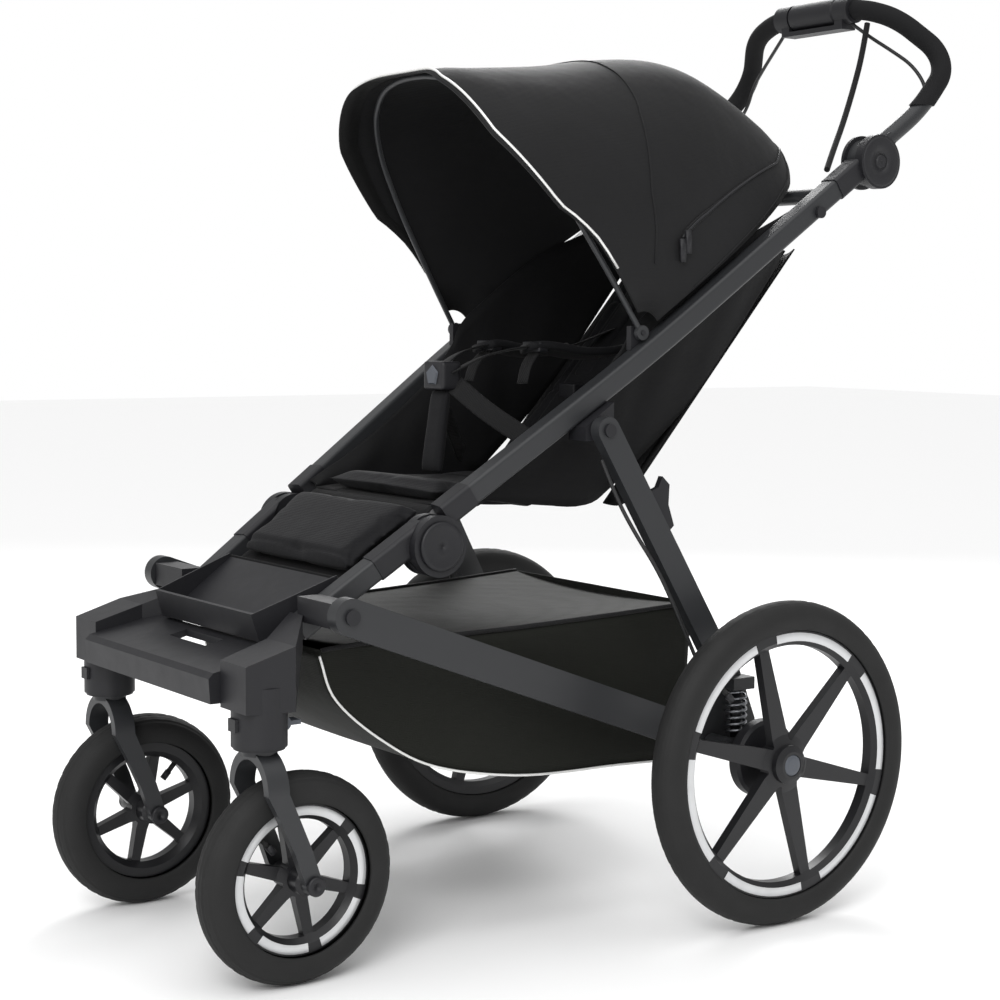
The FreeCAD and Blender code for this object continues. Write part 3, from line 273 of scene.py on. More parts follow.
def make_materials():
    """Every finish, by the name its pieces use."""
    colours = bpy.context.scene.stroller_colours
    thread = bpy.context.scene.stroller_sizes.thread
    return {
        # sprayed and baked coat: even colour with a fine orange peel that softens highlights
        "tube": grained("powder_coated_aluminium", colours.tube, 0.4, {"Specular IOR Level": 0.42},
                        (0.2, 0.93, 1.07), (0.03, 0.36, 0.47), (0.0012, 0.00004)),
        # glass-filled nylon with spark-eroded texture: satin, slightly uneven
        "moulding": grained("moulded_nylon", colours.moulding, 0.42, {"Specular IOR Level": 0.35},
                            (0.06, 0.9, 1.1), (0.02, 0.42, 0.56), (0.0009, 0.00006)),
        # moulded wheel: smoother than the frame's castings, so its edges shine
        "rim": grained("wheel_nylon", colours.rim, 0.36, {"Specular IOR Level": 0.35},
                       (0.05, 0.9, 1.12), None, (0.0012, 0.00003)),
        # cured rubber: matt, with a faint bloom
        "tyre": grained("tyre_rubber", colours.tyre, 0.66, {"Specular IOR Level": 0.22},
                        (0.04, 0.85, 1.15), (0.03, 0.58, 0.76), (0.0007, 0.00005)),
        "foam": foam_grip("1c1c1d"),
        "canopy": woven_cloth("coated_polyester", colours.canopy, 0.62, thread, 0.0002, 0.09, 0.0035, 0.04),
        "lining": woven_cloth("lining_polyester", "161616", 0.75, thread, 0.0002, 0.07, 0.002, 0.02),
        "seat": woven_cloth("seat_polyester", colours.seat, 0.72, thread, 0.0002, 0.06, 0.002, 0.03),
        "pad": woven_cloth("padded_polyester", "151517", 0.74, thread, 0.00025, 0.05, 0.0015, 0.05),
        # the basket's cloth has thicker threads than the seat's
        "basket": woven_cloth("coated_oxford_cloth", colours.basket, 0.66, thread * 1.3, 0.0003, 0.1, 0.004, 0.03),
        "webbing": webbing("161617"),
        # ABS with a fine grain, lighter than the mouldings round it
        "button": grained("abs_button", colours.button, 0.45, None, (0.01, 0.93, 1.07), None,
                          (0.0008, 0.00004)),
        "reflective": reflective_film(colours.reflective),
        "piping": reflective_film("f2f2f0"),
        # zinc-plated steel: bright, with fine turning marks
        "steel": grained("zinc_plated_steel", "8d8f93", 0.34, {"Metallic": 1.0}, None,
                         (0.004, 0.26, 0.44), (0.0006, 0.00003)),
        # extruded PVC sheath: smooth black with soft highlights
        "sheath": grained("pvc_sheath", "1a1a1b", 0.4, None, None, (0.01, 0.34, 0.5), None),
    }


FINISH = {}


# ---------------------------------------------------------------- mesh helpers

def place_object(name, data, finish=None):
    """A new object in the scene, with its finish when it has just one."""
    piece = bpy.data.objects.new(name, data)
    bpy.context.scene.collection.objects.link(piece)
    if finish:
        data.materials.append(FINISH[finish])
    return piece


def mesh_piece(name, verts, faces, finish, smooth=True):
    """A mesh with merged points and outward faces."""
    mesh = bpy.data.meshes.new(name)
    mesh.from_pydata([tuple(v) for v in verts], [], faces)
    mesh.update()
    work = bmesh.new()
    work.from_mesh(mesh)
    bmesh.ops.remove_doubles(work, verts=work.verts, dist=1e-6)
    bmesh.ops.recalc_face_normals(work, faces=work.faces)
    work.to_mesh(mesh)
    work.free()
    for face in mesh.polygons:
        face.use_smooth = smooth
    return place_object(name, mesh, finish)


def grid_faces(rows, columns, wrap_rows=False, wrap_columns=False):
    """Four-sided faces over a grid of points, closed on itself where asked."""
    faces = []
    for r in range(rows if wrap_rows else rows - 1):
        for c in range(columns if wrap_columns else columns - 1):
            a = r * columns + c
            b = r * columns + (c + 1) % columns
            d = ((r + 1) % rows) * columns + c
            e = ((r + 1) % rows) * columns + (c + 1) % columns
            faces.append((a, b, e, d))
    return faces


def sheet_piece(name, rows, finish, thickness, offset=0.0):
    """A smooth sheet through a grid of points, given a thickness."""
    columns = len(rows[0])
    verts = [point for row in rows for point in row]
    piece = mesh_piece(name, verts, grid_faces(len(rows), columns), finish)
    solid = piece.modifiers.new("thickness", "SOLIDIFY")
    solid.thickness = thickness
    solid.offset = offset
    apply_modifiers(piece)
    return piece


def apply_modifiers(piece):
    """Bake a piece's modifiers into its mesh."""
    bpy.context.view_layer.update()
    depsgraph = bpy.context.evaluated_depsgraph_get()
    baked = bpy.data.meshes.new_from_object(piece.evaluated_get(depsgraph))
    old = piece.data
    piece.modifiers.clear()
    piece.data = baked
    bpy.data.meshes.remove(old)


def smooth_line(points, count):
    """Points spread along a smooth curve through the given ones."""
    given = [np.array(p, float) for p in points]
    padded_points = [2 * given[0] - given[1], *given, 2 * given[-1] - given[-2]]
    spread = []
    spans = len(given) - 1
    for index in range(count):
        place = index * spans / (count - 1)
        k = min(int(place), spans - 1)
        t = place - k
        a, b, c, d = padded_points[k:k + 4]
        spread.append(0.5 * ((2 * b) + (c - a) * t + (2 * a - 5 * b + 4 * c - d) * t ** 2
                             + (3 * b - a - 3 * c + d) * t ** 3))
    return spread


def tube_mesh(name, points, radius, finish, sides=8, flat=None):
    """A round cord, or a flat strap when flat gives (width, thickness, width's direction)."""
    points = [Vector(p) for p in points]
    verts = []
    guide = Vector((1, 0, 0)) if flat is None else Vector(flat[2])
    for index, point in enumerate(points):
        ahead = points[min(index + 1, len(points) - 1)]
        behind = points[max(index - 1, 0)]
        along = (ahead - behind).normalized()
        side = (guide - along * guide.dot(along))
        if side.length < 1e-4:
            side = along.orthogonal()
        side.normalize()
        if flat is None:
            guide = side
        up = along.cross(side)
        for k in range(sides):
            turn = 2 * math.pi * k / sides
            if flat is None:
                verts.append(point + side * radius * math.cos(turn) + up * radius * math.sin(turn))
            else:
                wide = math.copysign(abs(math.cos(turn)) ** 0.4, math.cos(turn))
                thick = math.copysign(abs(math.sin(turn)) ** 0.4, math.sin(turn))
                verts.append(point + side * flat[0] / 2 * wide + up * flat[1] / 2 * thick)
    faces = grid_faces(len(points), sides, False, True)
    faces.append(tuple(range(sides)))
    last = (len(points) - 1) * sides
    faces.append(tuple(range(last, last + sides)))
    return mesh_piece(name, verts, faces, finish)


def turned_piece(name, centre, profile, finish, segments, side):
    """A piece turned about X from (x, radius) points in mm; x runs outboard."""
    verts = []
    for k in range(segments):
        turn = 2 * math.pi * k / segments
        for x, radius in profile:
            verts.append((centre.x + side * x * MM, centre.y + radius * MM * math.cos(turn),
                          centre.z + radius * MM * math.sin(turn)))
    return mesh_piece(name, verts, grid_faces(segments, len(profile), True, True), finish)


def joined(name, pieces):
    """Several pieces as one mesh, keeping their finishes."""
    work = bmesh.new()
    finishes = []
    for piece in pieces:
        first = len(work.faces)
        for finish in piece.data.materials:
            if finish not in finishes:
                finishes.append(finish)
        slots = [finishes.index(finish) for finish in piece.data.materials]
        work.from_mesh(piece.data)
        work.faces.ensure_lookup_table()
        for face in work.faces[first:]:
            face.material_index = slots[face.material_index]
    mesh = bpy.data.meshes.new(name)
    work.to_mesh(mesh)
    work.free()
    for finish in finishes:
        mesh.materials.append(finish)
    for piece in pieces:
        bpy.data.objects.remove(piece)
    return place_object(name, mesh)


def rounded_box(name, low, high, finish, edge=0.003, segments=3):
    """A block with rounded edges between two corners."""
    work = bmesh.new()
    bmesh.ops.create_cube(work, size=1.0)
    low = Vector(low)
    high = Vector(high)
    for vert in work.verts:
        vert.co = Vector(((low[i] + high[i]) / 2 + vert.co[i] * (high[i] - low[i])) for i in range(3))
    bmesh.ops.bevel(work, geom=list(work.edges), offset=edge, segments=segments, profile=0.7, affect="EDGES")
    mesh = bpy.data.meshes.new(name)
    work.to_mesh(mesh)
    work.free()
    for face in mesh.polygons:
        face.use_smooth = True
    return place_object(name, mesh, finish)


PAD_VOXEL = 0.005
SWELL_FRAMES = 20


def puffed(piece):
    """Swell a closed pad with cloth under light pressure, then cap how far it moved."""
    sizes = bpy.context.scene.stroller_sizes
    remesh = piece.modifiers.new("voxels", "REMESH")
    remesh.mode = "VOXEL"
    remesh.voxel_size = PAD_VOXEL
    apply_modifiers(piece)
    rest = np.array([v.co for v in piece.data.vertices])
    cloth = piece.modifiers.new("swell", "CLOTH")
    cloth.settings.use_pressure = True
    cloth.settings.uniform_pressure_force = sizes.pad_swell
    cloth.settings.effector_weights.gravity = 0
    cloth.settings.quality = 5
    cloth.collision_settings.use_collision = False
    cloth.point_cache.frame_start = 1
    cloth.point_cache.frame_end = SWELL_FRAMES
    scene = bpy.context.scene
    for number in range(1, SWELL_FRAMES + 1):
        scene.frame_set(number)
    apply_modifiers(piece)
    scene.frame_set(1)
    moved = np.array([v.co for v in piece.data.vertices])
    shift = moved - rest
    length = np.linalg.norm(shift, axis=1, keepdims=True)
    cap = sizes.pad_cap
    capped = rest + shift * np.minimum(1.0, cap / np.maximum(length, 1e-9))
    for vert, place in zip(piece.data.vertices, capped):
        vert.co = place
    refine = piece.modifiers.new("refine", "SUBSURF")
    refine.levels = 1
    refine.render_levels = 1
    apply_modifiers(piece)
    for face in piece.data.polygons:
        face.use_smooth = True
    return piece


def press_channels(piece, lines, width, depth):
    """Sink sewn channels into a pad; each line is (point, direction, inward)."""
    for vert in piece.data.vertices:
        sink = Vector((0, 0, 0))
        for point, across, inward in lines:
            gap = abs((vert.co - Vector(point)).dot(Vector(across)))
            if gap < 3 * width:
                sink += Vector(inward) * depth * math.exp(-(gap / width) ** 2)
        vert.co += sink


def paint(names, finish):
    """Give CAD nodes their finish."""
    for name in names:
        node = frame["nodes"][name]
        node.data.materials.clear()
        node.data.materials.append(FINISH[finish])
        for face in node.data.polygons:
            face.material_index = 0


def sided(name):
    """A pair of node names, left and right."""
    return [f"{name}_{word}" for word, side in SIDES]


# ---------------------------------------------------------------- frame finishes

class STROLLER_OT_frame_finishes(bpy.types.Operator):
    """Give every rigid piece of the frame its own finish"""

    bl_idname = "stroller.frame_finishes"
    bl_label = "Frame finishes"

    def execute(self, context):
        FINISH.update(make_materials())
        paint(["upper_tubes", "lower_tubes", "back_cross_tube", "side_bars", "rear_struts", "rear_axle_tube",
               "handle_tube", "canopy_bow", *sided("swing_arm"), *sided("caster_fork")], "tube")
        paint(["fold_knuckles", "fold_sockets", "handle_hinge_housings", "frame_brackets", "brake_housing",
               "brake_twist_grip", "caster_housings", "front_crossmember", "footrest_tray", "side_bar_brackets",
               "transport_hook", "buckle", *sided("drum_brake"), *sided("handle_button"),
               "fold_hinge_pins", *sided("wheel_button")], "moulding")
        paint(["handle_grips"], "foam")
        paint([*sided("front_rim"), *sided("rear_rim")], "rim")
        paint([*sided("front_tyre"), *sided("rear_tyre")], "tyre")
        paint(sided("front_axle"), "steel")
        paint([*sided("hub_cap"), *sided("swivel_lever"), "buckle_button"], "button")
        paint(["seat_shell"], "seat")
        return {"FINISHED"}


# ---------------------------------------------------------------- wheels

def tyre_profile(radius, section, rim, ribs):
    """Casing outline with tread ribs round the top and a bead line on each wall."""
    centre = radius - section
    foot = math.asin((rim - centre) / section)
    points = []
    count = 56
    for k in range(count + 1):
        turn = foot + (math.pi - 2 * foot) * k / count
        reach = section
        crown = abs(turn - math.pi / 2)
        if crown < 0.62:
            reach -= 0.9 * (0.5 + 0.5 * math.cos(turn * ribs)) ** 6
        if abs(crown - 0.78) < 0.03:
            reach -= 0.8
        points.append((reach * math.cos(turn), centre + reach * math.sin(turn)))
    points.append((points[-1][0] + 3.4, rim))
    for k in range(13):
        turn = foot + 0.16 + (math.pi - 2 * foot - 0.32) * (1 - k / 12)
        reach = section - 3.0
        points.append((reach * math.cos(turn), centre + reach * math.sin(turn)))
    points.append((points[0][0] - 3.4, rim))
    return points


def cut_tread(piece, hub, radius, section, blocks):
    """Shallow cross cuts between the tread ribs."""
    for vert in piece.data.vertices:
        y = vert.co.y - hub.y
        z = vert.co.z - hub.z
        reach = math.hypot(y, z) / MM
        height = (reach - (radius - section)) / section
        if height < 0.72:
            continue
        turn = math.atan2(z, y)
        sway = 0.5 * abs(vert.co.x - hub.x) / MM / section
        wave = math.cos(turn * blocks + sway * 6)
        if wave > 0.75:
            share = 1 - 0.55 * min(1.0, (height - 0.72) / 0.15) / reach
            vert.co.y = hub.y + y * share
            vert.co.z = hub.z + z * share


def rim_strips(name, hub, side, inner, outer, x, turn, half_gap):
    """Six reflective arcs on the outer face of a rim, one between each pair of spokes."""
    arcs = []
    for k in range(6):
        middle = math.radians(turn + 60 * k)
        start = middle - math.radians(30 - half_gap)
        end = middle + math.radians(30 - half_gap)
        verts = []
        steps = 14
        for s in range(steps + 1):
            angle = start + (end - start) * s / steps
            for radius, lift in ((inner, 0.0), (inner + 0.6, 0.5), (outer - 0.6, 0.5), (outer, 0.0)):
                verts.append((hub.x + side * (x + lift) * MM,
                              hub.y + side * radius * MM * math.cos(angle),
                              hub.z + radius * MM * math.sin(angle)))
        arcs.append(mesh_piece(f"{name}_{k}", verts, grid_faces(steps + 1, 4), "reflective"))
    return joined(name, arcs)


def valve(name, hub, side, rim, turn, x):
    """Rubber valve stem with its cap, pointing in from the rim."""
    angle = math.radians(turn)
    inward = Vector((0, -side * math.cos(angle), -math.sin(angle)))
    start = Vector((hub.x + side * x * MM, hub.y + side * rim * MM * math.cos(angle),
                    hub.z + rim * MM * math.sin(angle)))
    stem = tube_mesh(f"{name}_stem", [start, start + inward * 0.012, start + inward * 0.018], 0.0032, "tyre", 12)
    cap = tube_mesh(f"{name}_cap", [start + inward * 0.018, start + inward * 0.030], 0.0042, "moulding", 12)
    return joined(name, [stem, cap])


TREAD_RIBS = 26


def dress_wheel(word, side, hub, body, label, radius, section, rim, turn, blocks):
    """Tyre, reflective strips and valve of one wheel; sizes in mm, turn in degrees."""
    centre = Vector((side * hub.x, hub.y, hub.z))
    tyre = turned_piece(f"{label}_tyre_tread_{word}", centre, tyre_profile(radius, section, rim, TREAD_RIBS), "tyre",
                        blocks * 4, side)
    cut_tread(tyre, centre, radius, section, blocks)
    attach(tyre, f"{body}_{word}")
    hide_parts(f"{label}_tyre_{word}")
    edge = section * 0.62
    strips = rim_strips(f"{label}_reflectors_{word}", centre, side, rim - 13.5, rim - 3.0, edge + 0.1, turn, 6)
    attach(strips, f"{body}_{word}")
    stem = valve(f"{label}_valve_{word}", centre, side, rim - 12.5, turn + 120, edge * 0.3)
    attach(stem, f"{body}_{word}")


class STROLLER_OT_wheels(bpy.types.Operator):
    """Treaded tyres, reflective strips, valves and axle covers"""

    bl_idname = "stroller.wheels"
    bl_label = "Wheels"

    def execute(self, context):
        for word, side in SIDES:
            dress_wheel(word, side, REAR_HUB, "rear_wheel", "rear", 199.8, 21.0, 165.0, 15, 64)
            dress_wheel(word, side, FRONT_HUB, "front_wheel", "front", 120.0, 24.0, 86.0, 12, 44)
            for end in (1, -1):
                face = Vector((side * FRONT_HUB.x + end * 0.0481, FRONT_HUB.y, FRONT_HUB.z))
                nut = turned_piece(f"axle_cover_{word}_{'out' if end > 0 else 'in'}", face,
                                   [(-3, 11), (0.4, 11), (1.6, 9.5), (2.0, 5), (0.6, 4.4), (0.6, 0.1), (-3, 0.1)],
                                   "moulding", 32, end)
                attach(nut, f"caster_{word}")
        return {"FINISHED"}


# ---------------------------------------------------------------- canopy

CROWN = [(126, 398), (121, 372), (108, 342), (95, 333), (82, 348), (67, 380), (56, 390), (45, 405), (39, 419)]


def crown_radius(degrees):
    """Radius of the canopy's top over its pivot, eased between the bows."""
    places = [c[0] for c in reversed(CROWN)]
    values = [c[1] for c in reversed(CROWN)]
    return float(np.interp(degrees, places, values))


def front_edge_angle(lift):
    """The front hem leans forward up its sides and back again at the top."""
    return float(np.interp(lift, [0.0, 0.12, 0.3, 0.45, 0.75, 0.95, 1.0], [112, 119, 124, 131, 131.5, 128, 125]))


def rear_edge_angle(lift):
    """The rear hem lies along the side tube and lifts off it behind the head."""
    return float(np.interp(lift, [0.0, 0.8, 0.93, 1.0], [34.0, 34.2, 37.0, 40.0]))


def canopy_spot(share, turn, inset=0.0):
    """A point of the canopy: share runs from the front hem to the rear one, turn from left to right."""
    lift = abs(math.sin(turn)) ** 0.62
    front = front_edge_angle(lift)
    degrees = front + (rear_edge_angle(lift) - front) * share
    smooth = sum(crown_radius(degrees + step) for step in (-5, -2.5, 0, 2.5, 5)) / 5
    dip = 9 * (1 - share) ** 4 * max(0.0, math.sin(turn)) ** 30
    across = math.cos(turn)
    width = 208 - 2 * share - inset
    x = width * math.copysign(abs(across) ** 0.8, across)
    foot = 26
    return hood_spot(x, foot + (smooth - dip - inset - foot) * lift, degrees)


def canopy_line(share, inset):
    """Points across the canopy from just above one foot to just above the other."""
    count = 72
    return [canopy_spot(share, math.pi * (0.02 + 0.96 * k / count), inset) for k in range(count + 1)]


class STROLLER_OT_canopy(bpy.types.Operator):
    """One continuous sheet of canopy cloth with hem binding, piping, seams and zips"""

    bl_idname = "stroller.canopy"
    bl_label = "Canopy"

    def execute(self, context):
        rows = []
        for r in range(57):
            share = r / 56
            rows.append([canopy_spot(share, math.pi * c / 80) for c in range(81)])
        cloth = sheet_piece("canopy_cloth", rows, "canopy", 0.0016, -1)
        hem = [canopy_spot(0.0, math.pi * c / 80, 1.2) for c in range(81)]
        inner_hem = [canopy_spot(0.05, math.pi * c / 80, 3.0) for c in range(81)]
        binding = sheet_piece("canopy_binding", [hem, inner_hem], "lining", 0.002)
        piping = tube_mesh("canopy_piping", canopy_line(0.012, -1.6), 0.0016, "piping", 8)
        seams = []
        for share in (0.47, 0.985):
            seams.append(tube_mesh("seam", canopy_line(share, -0.3), 0.0011, "canopy", 6))
        stitched = joined("canopy_seams", seams)
        pieces = [cloth, binding, piping, stitched, self.zip_band()]
        for piece in pieces:
            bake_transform(piece)
        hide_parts("canopy_front", "canopy_rear")
        return {"FINISHED"}

    def zip_band(self):
        """Zip that rises from above the pivot to the rear hem, with two pullers, on each side."""
        route = [(0.675, 0.136), (0.74, 0.205), (0.80, 0.289), (0.867, 0.475), (0.925, 0.72), (0.965, 1.0)]
        route = smooth_line(route, 60)
        parts = []
        for mirror in (False, True):
            def spot(share, turn, lift):
                return canopy_spot(share, math.pi - turn if mirror else turn, lift)

            tape = [[spot(share, turn + step, -0.9) for share, turn in route]
                    for step in (-0.020, -0.008, 0.008, 0.020)]
            parts.append(sheet_piece("tape", tape, "webbing", 0.0008))
            teeth = [spot(share, turn, -1.4) for share, turn in route]
            parts.append(tube_mesh("teeth", teeth, 0.0015, "moulding", 6))
            for share, turn in ((0.668, 0.13), (0.69, 0.158)):
                top = spot(share, turn, -3.5)
                out = -0.002 if mirror else 0.002
                tag = [top, top + Vector((out, 0, -0.010)), top + Vector((out, 0, -0.028))]
                parts.append(tube_mesh("pull", tag, 0.003, "moulding", 8, (0.009, 0.004, (0, 1, 0))))
        return joined("canopy_zip", parts)


# ---------------------------------------------------------------- seat

BACK_ANGLE = math.radians(49.0)
BACK_UP = Vector((0, math.cos(BACK_ANGLE), math.sin(BACK_ANGLE)))
BACK_OUT = Vector((0, -math.sin(BACK_ANGLE), math.cos(BACK_ANGLE)))


def back_spot(x, up, out):
    """A point in mm in the backrest's own directions."""
    return Vector((x * MM, RECLINE.y, RECLINE.z)) + BACK_UP * up * MM + BACK_OUT * out * MM


def pad_form(name, spot, length, half_widths, thickness, finish, crown=0.5):
    """A closed crowned pad; spot(x, along, out) places it."""
    steps = 22
    verts = []
    for layer in (1, -1):
        for r in range(steps + 1):
            along = r / steps
            half = half_widths[0] + (half_widths[1] - half_widths[0]) * along
            waist = 1 - 0.02 * math.sin(math.pi * along)
            for c in range(steps + 1):
                across = 2 * c / steps - 1
                dome = ((1 - abs(across) ** 6) * (1 - abs(2 * along - 1) ** 6)) ** 0.4
                height = thickness / 2 * dome * (1 if layer > 0 else crown)
                verts.append(spot(across * half * waist, length * along, layer * height))
    count = (steps + 1) ** 2
    top = grid_faces(steps + 1, steps + 1)
    faces = top + [tuple(reversed([index + count for index in face])) for face in top]
    piece = mesh_piece(name, verts, faces, finish)
    work = bmesh.new()
    work.from_mesh(piece.data)
    bmesh.ops.remove_doubles(work, verts=work.verts, dist=2e-4)
    work.to_mesh(piece.data)
    work.free()
    return piece


SEAT_FRONT = (-385.0, 541.0)
SEAT_REAR = (-146.0, 531.0)


def seat_spot(x, along, out):
    """A point of the seat pad, from its front edge to its back."""
    share = along / (SEAT_REAR[0] - SEAT_FRONT[0])
    sag = -9 * math.sin(math.pi * share)
    z = SEAT_FRONT[1] + (SEAT_REAR[1] - SEAT_FRONT[1]) * share + sag - 6
    return at(x, SEAT_FRONT[0] + along, z + out)


def side_panel(side):
    """Soft wall from the side tube down to the seat, drawn in a little by its seams."""
    top = [(-388, 528), (-300, 576), (-200, 646), (-150, 698), (-120, 740), (0, 822), (90, 862), (152, 892)]
    bottom = [(-386, 520), (-318, 523), (-250, 515), (-165, 511), (-100, 556), (0, 648), (134, 812)]
    upper = smooth_line([(y, z) for y, z in top], 40)
    lower = smooth_line([(y, z) for y, z in bottom], 40)
    rows = []
    for r in range(13):
        drop = r / 12
        row = []
        for (uy, uz), (ly, lz) in zip(upper, lower):
            outward = float(np.interp(uy, [-150, -90, -30, 20, 80], [0, 0.2, 0.8, 1, 0]))
            x_top = tube_middle(uy) - 15.5 + 9 * outward
            x_low = 142 if ly < -150 else 142 + 14 * min(1.0, (ly + 150) / 150)
            belly = 7 * math.sin(math.pi * drop) + 1.5 * math.sin(uy / 17) * math.sin(math.pi * drop)
            row.append(at(side * (x_top + (x_low - x_top) * drop ** 1.3 - belly), uy + (ly - uy) * drop,
                          uz + (lz - uz) * drop))
        rows.append(row)
    return rows


class STROLLER_OT_seat(bpy.types.Operator):
    """Side panels and wings, seat pad, backrest pad and calf pad"""

    bl_idname = "stroller.seat"
    bl_label = "Seat"

    def execute(self, context):
        tub = []
        for word, side in SIDES:
            tub.append(sheet_piece(f"panel_{word}", side_panel(side), "seat", 0.0022))
        floor_line = smooth_line([(-386, 520), (-318, 523), (-250, 515), (-165, 511), (-122, 536)], 24)
        floor = [[at(x, y, z - 4 * (1 - (x / 142) ** 2)) for x in np.linspace(-142, 142, 25)]
                 for y, z in floor_line]
        tub.append(sheet_piece("floor", floor, "seat", 0.0022))
        shell = joined("seat_cloth", tub)
        for word, side in SIDES:
            self.wing(word, side)
        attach(shell, "main_frame")
        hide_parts("seat_shell")

        cushion = puffed(pad_form("seat_pad", seat_spot, SEAT_REAR[0] - SEAT_FRONT[0], (128, 130), 16, "pad"))
        lines = [(at(0, y, 530), (0, 1, 0), (0, 0, -1)) for y in (-300, -225)]
        press_channels(cushion, lines, 0.004, 0.003)
        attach(cushion, "main_frame")
        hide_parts("seat_cushion")

        def backrest_spot(x, along, out):
            return back_spot(x, 16 + along, out)

        back = puffed(pad_form("backrest_pad", backrest_spot, 380, (130, 132), 20, "pad"))
        lines = [(back_spot(x, 200, 0), (1, 0, 0), -BACK_OUT) for x in (-88, 88)]
        lines += [(back_spot(0, up, 0), BACK_UP, -BACK_OUT) for up in (130, 290)]
        press_channels(back, lines, 0.004, 0.003)
        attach(back, "seat_back")
        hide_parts("backrest")
        rear = [[back_spot(x * 1.03, up, -14 + 2 * math.cos(x / 134 * math.pi / 2))
                 for x in np.linspace(-134, 134, 21)] for up in np.linspace(10, 402, 24)]
        skin = sheet_piece("backrest_cover", rear, "seat", 0.002)
        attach(skin, "seat_back")
        self.calf()
        return {"FINISHED"}

    def wing(self, word, side):
        """Loose cloth that joins the side panel to the backrest's edge."""
        rows = []
        for r in range(9):
            share = r / 8
            row = []
            for up in np.linspace(-22, 400, 40):
                inner = back_spot(side * 108, up, -18)
                outer = Vector((side * 0.158, inner.y - 0.004, inner.z + 0.006))
                slack = -BACK_OUT * 0.006 * math.sin(math.pi * share)
                row.append(outer.lerp(inner, share) + slack)
            rows.append(row)
        cloth = sheet_piece(f"seat_wing_{word}", rows, "seat", 0.0018)
        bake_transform(cloth)

    def calf(self):
        """Calf pad, with the cloth behind it that joins it to the seat."""
        calf_up = Vector((0, 110, 75)).normalized()
        calf_out = Vector((0, -calf_up.z, calf_up.y))
        foot = at(0, -507, 444)
        hung_from = [(-372, 519), (-392, 515), (-410, 494), (-455, 463), (-506, 431), (-512, 441)]
        apron_line = smooth_line(hung_from, 30)
        apron = [[at(x, y, z) for x in np.linspace(-138, 138, 25)] for y, z in apron_line]
        bib = sheet_piece("calf_apron", apron, "seat", 0.002)
        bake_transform(bib)

        def calf_spot(x, along, out):
            return foot + Vector((x * MM, 0, 0)) + calf_up * along * MM + calf_out * out * MM

        calf = puffed(pad_form("calf_cushion", calf_spot, 132, (130, 140), 17, "pad", 0.8))
        press_channels(calf, [(calf_spot(0, 20, 0), calf_up, -calf_out)], 0.0035, 0.003)
        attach(calf, "front_frame")
        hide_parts("calf_pad")


